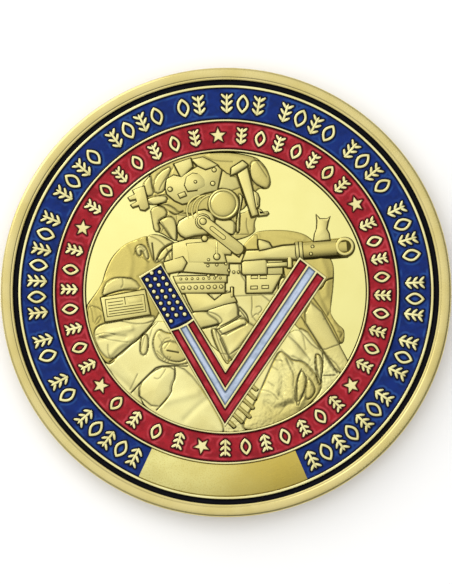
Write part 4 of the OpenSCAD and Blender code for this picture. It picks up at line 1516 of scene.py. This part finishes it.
def grown(outline, by, shift):
    """The outline moved outwards and shifted."""
    points = np.array(outline, dtype=float)
    area = np.sum(points[:, 0] * np.roll(points[:, 1], -1) - np.roll(points[:, 0], -1) * points[:, 1])
    edge = np.roll(points, -1, axis=0) - points
    normal = np.stack([edge[:, 1], -edge[:, 0]], axis=1) * np.sign(area)
    normal /= np.linalg.norm(normal, axis=1)[:, None]
    both = normal + np.roll(normal, 1, axis=0)
    both /= np.maximum(np.sum(both * both, axis=1), 0.8)[:, None] / 2
    return [(x, y) for x, y in points + both * by + np.array(shift)]


def crown_of(outline, bevel):
    """Only a plate that is simple or well rounded, and wide enough, is crowned."""
    wide = np.ptp(np.array(outline), axis=0).min() > 0.4
    return 0.025 if wide and (len(outline) < 8 or bevel > 0.1) else 0.0


TRIM = {"helmet_gear": helmet_trim, "sight": sight_trim, "gun": gun_trim, "sleeve_patch": patch_trim}
for name, plates in GEAR.items():
    parts = [
        plate(outline, field_top + rise, bevel, tilt=tilt, crown=crown_of(outline, bevel), margin=0.12)
        for outline, rise, bevel, tilt in plates
    ]
    # Painted shadow: each plate sits on a slightly larger plate with painted shade, shifted down and to the
    # right so that the shadow is wider on the lower right.
    parts += [
        shade_painted(plate(grown(outline, 0.08, (0.015, -0.03)), field_top + rise - 0.035, 0.0, tilt=tilt))
        for outline, rise, bevel, tilt in plates
    ]
    parts += TRIM[name]()
    in_gold(joined(parts), name, gear_gold)

belt = []
for start, end in (
    ((2.30, -8.42), (2.77, -8.80)), ((1.92, -8.94), (2.63, -9.62)), ((1.46, -9.56), (2.46, -10.42)),
    ((1.04, -10.22), (2.18, -11.22)), ((0.66, -10.92), (1.48, -11.66)), ((0.26, -11.58), (0.80, -12.08)),
):
    start, end = Vector(start), Vector(end)
    along = (end - start).normalized()
    low_side = Vector((along.y, -along.x)) * 0.03
    # Each round lies on a wider bar with painted shade, shifted to its lower side, and ends in a tip with
    # painted shade.
    belt += [
        shade_painted(round_bar(start + low_side, end + along * 0.03 + low_side, 0.245, 0.24, 0.06)),
        round_bar(start, end, 0.21, 0.30),
        shade_painted(round_bar(end - along * 0.03, end + along * 0.09, 0.17, 0.27, 0.06)),
    ]
in_gold(joined(belt), "cartridge_belt", gear_gold)


# ---------------------------------------------------------------- reverse
def turned_over(piece):
    """Turn a form made for the obverse on to the reverse."""
    piece.data.transform(Matrix.Translation((0, 0, coin_t)) @ Matrix.Rotation(math.pi, 4, "Y"))
    return piece


def back_star_line():
    """The raised outline of the star."""
    piece = blank(star_outline(back_star_r, back_star_r * back_star_waist), footing)
    open_whole(piece)
    pull(line_top - floor_top + 0.02)
    inset(0.05, 0.03)
    inset(0.18)
    inset(0.05, -0.03)
    pull(floor_top - line_top - 0.01)
    face_out()
    close_mesh()
    return piece


def back_star_enamel():
    """The enamel inside the star, standing a little higher along the line."""
    outer = back_star_r - 2.6 * back_line
    edge = star_outline(outer, outer * back_star_waist)
    piece = blank(edge, floor_top)
    open_whole(piece)
    pull(enamel_top - floor_top)
    for step in (0.06, 0.08, 0.12, 0.3):
        inset(step)
    face_out()
    close_mesh()
    points = coords(piece)
    climbed(piece, away(points[:, 0], points[:, 1], edge, closed=True))
    return piece


def wreath():
    """Leaves in pairs along two stems, with a plain knot where the stems meet."""
    blade = plate(leaf_outline(2.1, 0.78, 10), line_top - 0.03, 0.08, footing)
    vein = plate(capsule((0, -1.0), (0, 0.75), 0.05, 3), line_top, 0.02, footing)
    leaf = joined([blade, vein])
    stem = band_profile(wreath_r - 0.12, wreath_r + 0.12, line_top - 0.06, footing)
    made = []
    for side in (-1, 1):
        made.append(turned(stem, 60, 118 if side < 0 else -72, 134, closed=True))
        for k in range(leaf_pairs):
            turn = Matrix.Rotation(-math.radians(side * (160 - k * 140 / leaf_pairs)), 4, "Z")
            for lean in (-1, 1):
                spot = Matrix.Translation((-lean * 0.55, wreath_r + lean * 0.75, 0))
                lie = Matrix.Rotation(-math.radians(side * (90 + lean * 32)), 4, "Z")
                made.append(copy_at(leaf, turn @ spot @ lie))
    drop(leaf)
    for lean in (-1, 1):
        ribbon = capsule((0, -wreath_r), (lean * 1.5, -wreath_r - 1.2), 0.22, 5)
        made.append(plate(ribbon, line_top - 0.05, 0.06, footing))
    made.append(disc((0, -wreath_r), 0.55, line_top, 0.12, footing))
    return made


back_lines = joined([back_star_line()] + wreath())
in_gold(turned_over(back_lines), "reverse_star_and_wreath", line_gold)
back_blue = turned_over(back_star_enamel())
in_enamel(back_blue, "reverse_star_blue", blue_enamel, "blue_enamel", "reverse_star_enamel")
back_ring = turned_over(enamel_ring(black_in, black_out, 0.05, around, []))
in_enamel(back_ring, "reverse_ring_black", black_enamel, "black_enamel", "reverse_ring_enamel")

# ---------------------------------------------------------------- floor, light and camera
floor = added(bpy.ops.mesh.primitive_plane_add, size=1.6, location=(0, 0, -0.00001))
floor.name = "floor"
floor_bench = Bench("pale_floor")
cloudy = floor_bench.noise(floor_bench.place(10.0), 1.0, 2.0)
paper_dark = (0.86, 0.86, 0.86, 1)
paper_light = (0.88, 0.88, 0.88, 1)
paper = floor_bench.mix(floor_bench.spread(cloudy, 0.3, 0.7), paper_dark, paper_light)
floor_bench.set(Base_Color=paper, Roughness=0.8)
floor.data.materials.append(floor_bench.material)

scene = bpy.context.scene
scene.view_settings.view_transform = "Standard"
world = bpy.data.worlds.new("studio")
scene.world = world
world.use_nodes = True
sky = Bench("studio", world.node_tree)
toward = sky.node("ShaderNodeTexCoord", output="Generated")
lobe = Vector((-0.24, 0.26, 0.93)).normalized()
lobe_narrow = 2.4
lobe_bright = 1.12
sky_least = 0.03
low_sky = 0.55
backdrop = 0.90
pair = {0: toward, 1: lobe[:]}
facing = sky.node("ShaderNodeVectorMath", {"operation": "DOT_PRODUCT"}, pair, output="Value")
raised_lobe = sky.node("ShaderNodeMath", {"operation": "MAXIMUM"}, {0: facing, 1: 0.0}) ** lobe_narrow
climb = sky.node("ShaderNodeSeparateXYZ", {}, {0: toward}, output="Z")
glow = raised_lobe * lobe_bright + sky_least + sky.spread(climb, 0.28, 0.56, low_sky, 0.0)
seen = sky.node("ShaderNodeLightPath", output="Is Camera Ray")
brightness = sky.node("ShaderNodeMix", {"data_type": "FLOAT"}, {0: seen, 2: glow, 3: backdrop})
for node in world.node_tree.nodes:
    if node.type == "BACKGROUND":
        node.inputs["Color"].default_value = (1.0, 0.99, 0.97, 1.0)
        sky.plug(node.inputs["Strength"], brightness)


def soft_light(name, energy, size, place):
    """A square light that looks at the coin."""
    data = bpy.data.lights.new(name, "AREA")
    data.energy = energy
    data.size = size
    light = bpy.data.objects.new(name, data)
    scene.collection.objects.link(light)
    light.location = place
    light.rotation_euler = (-Vector(place)).to_track_quat("-Z", "Y").to_euler()
    return light


key_light = soft_light("key", 0.46, 0.30, (-0.22, 0.24, 0.20))
key_light.data.color = (1.0, 0.99, 0.96)
fill_light = soft_light("fill", 2.8, 0.8, (0, 0, 0.6))
fill_light.visible_glossy = False
fill_light.visible_camera = False

elevation = math.radians(85.6)
lens = 150.0
sensor = 36.0
view_height = 0.05176
camera_data = bpy.data.cameras.new("camera")
camera_data.lens = lens
camera_data.sensor_width = sensor
camera_data.clip_start = 0.01
camera_data.clip_end = 10.0
camera = bpy.data.objects.new("camera", camera_data)
scene.collection.objects.link(camera)
distance = lens * view_height / sensor
target = Vector((0.0, -0.00012, coin_t * MM))
camera.location = target + distance * Vector((0, -math.cos(elevation), math.sin(elevation)))
camera.rotation_euler = (target - camera.location).to_track_quat("-Z", "Y").to_euler()
scene.camera = camera
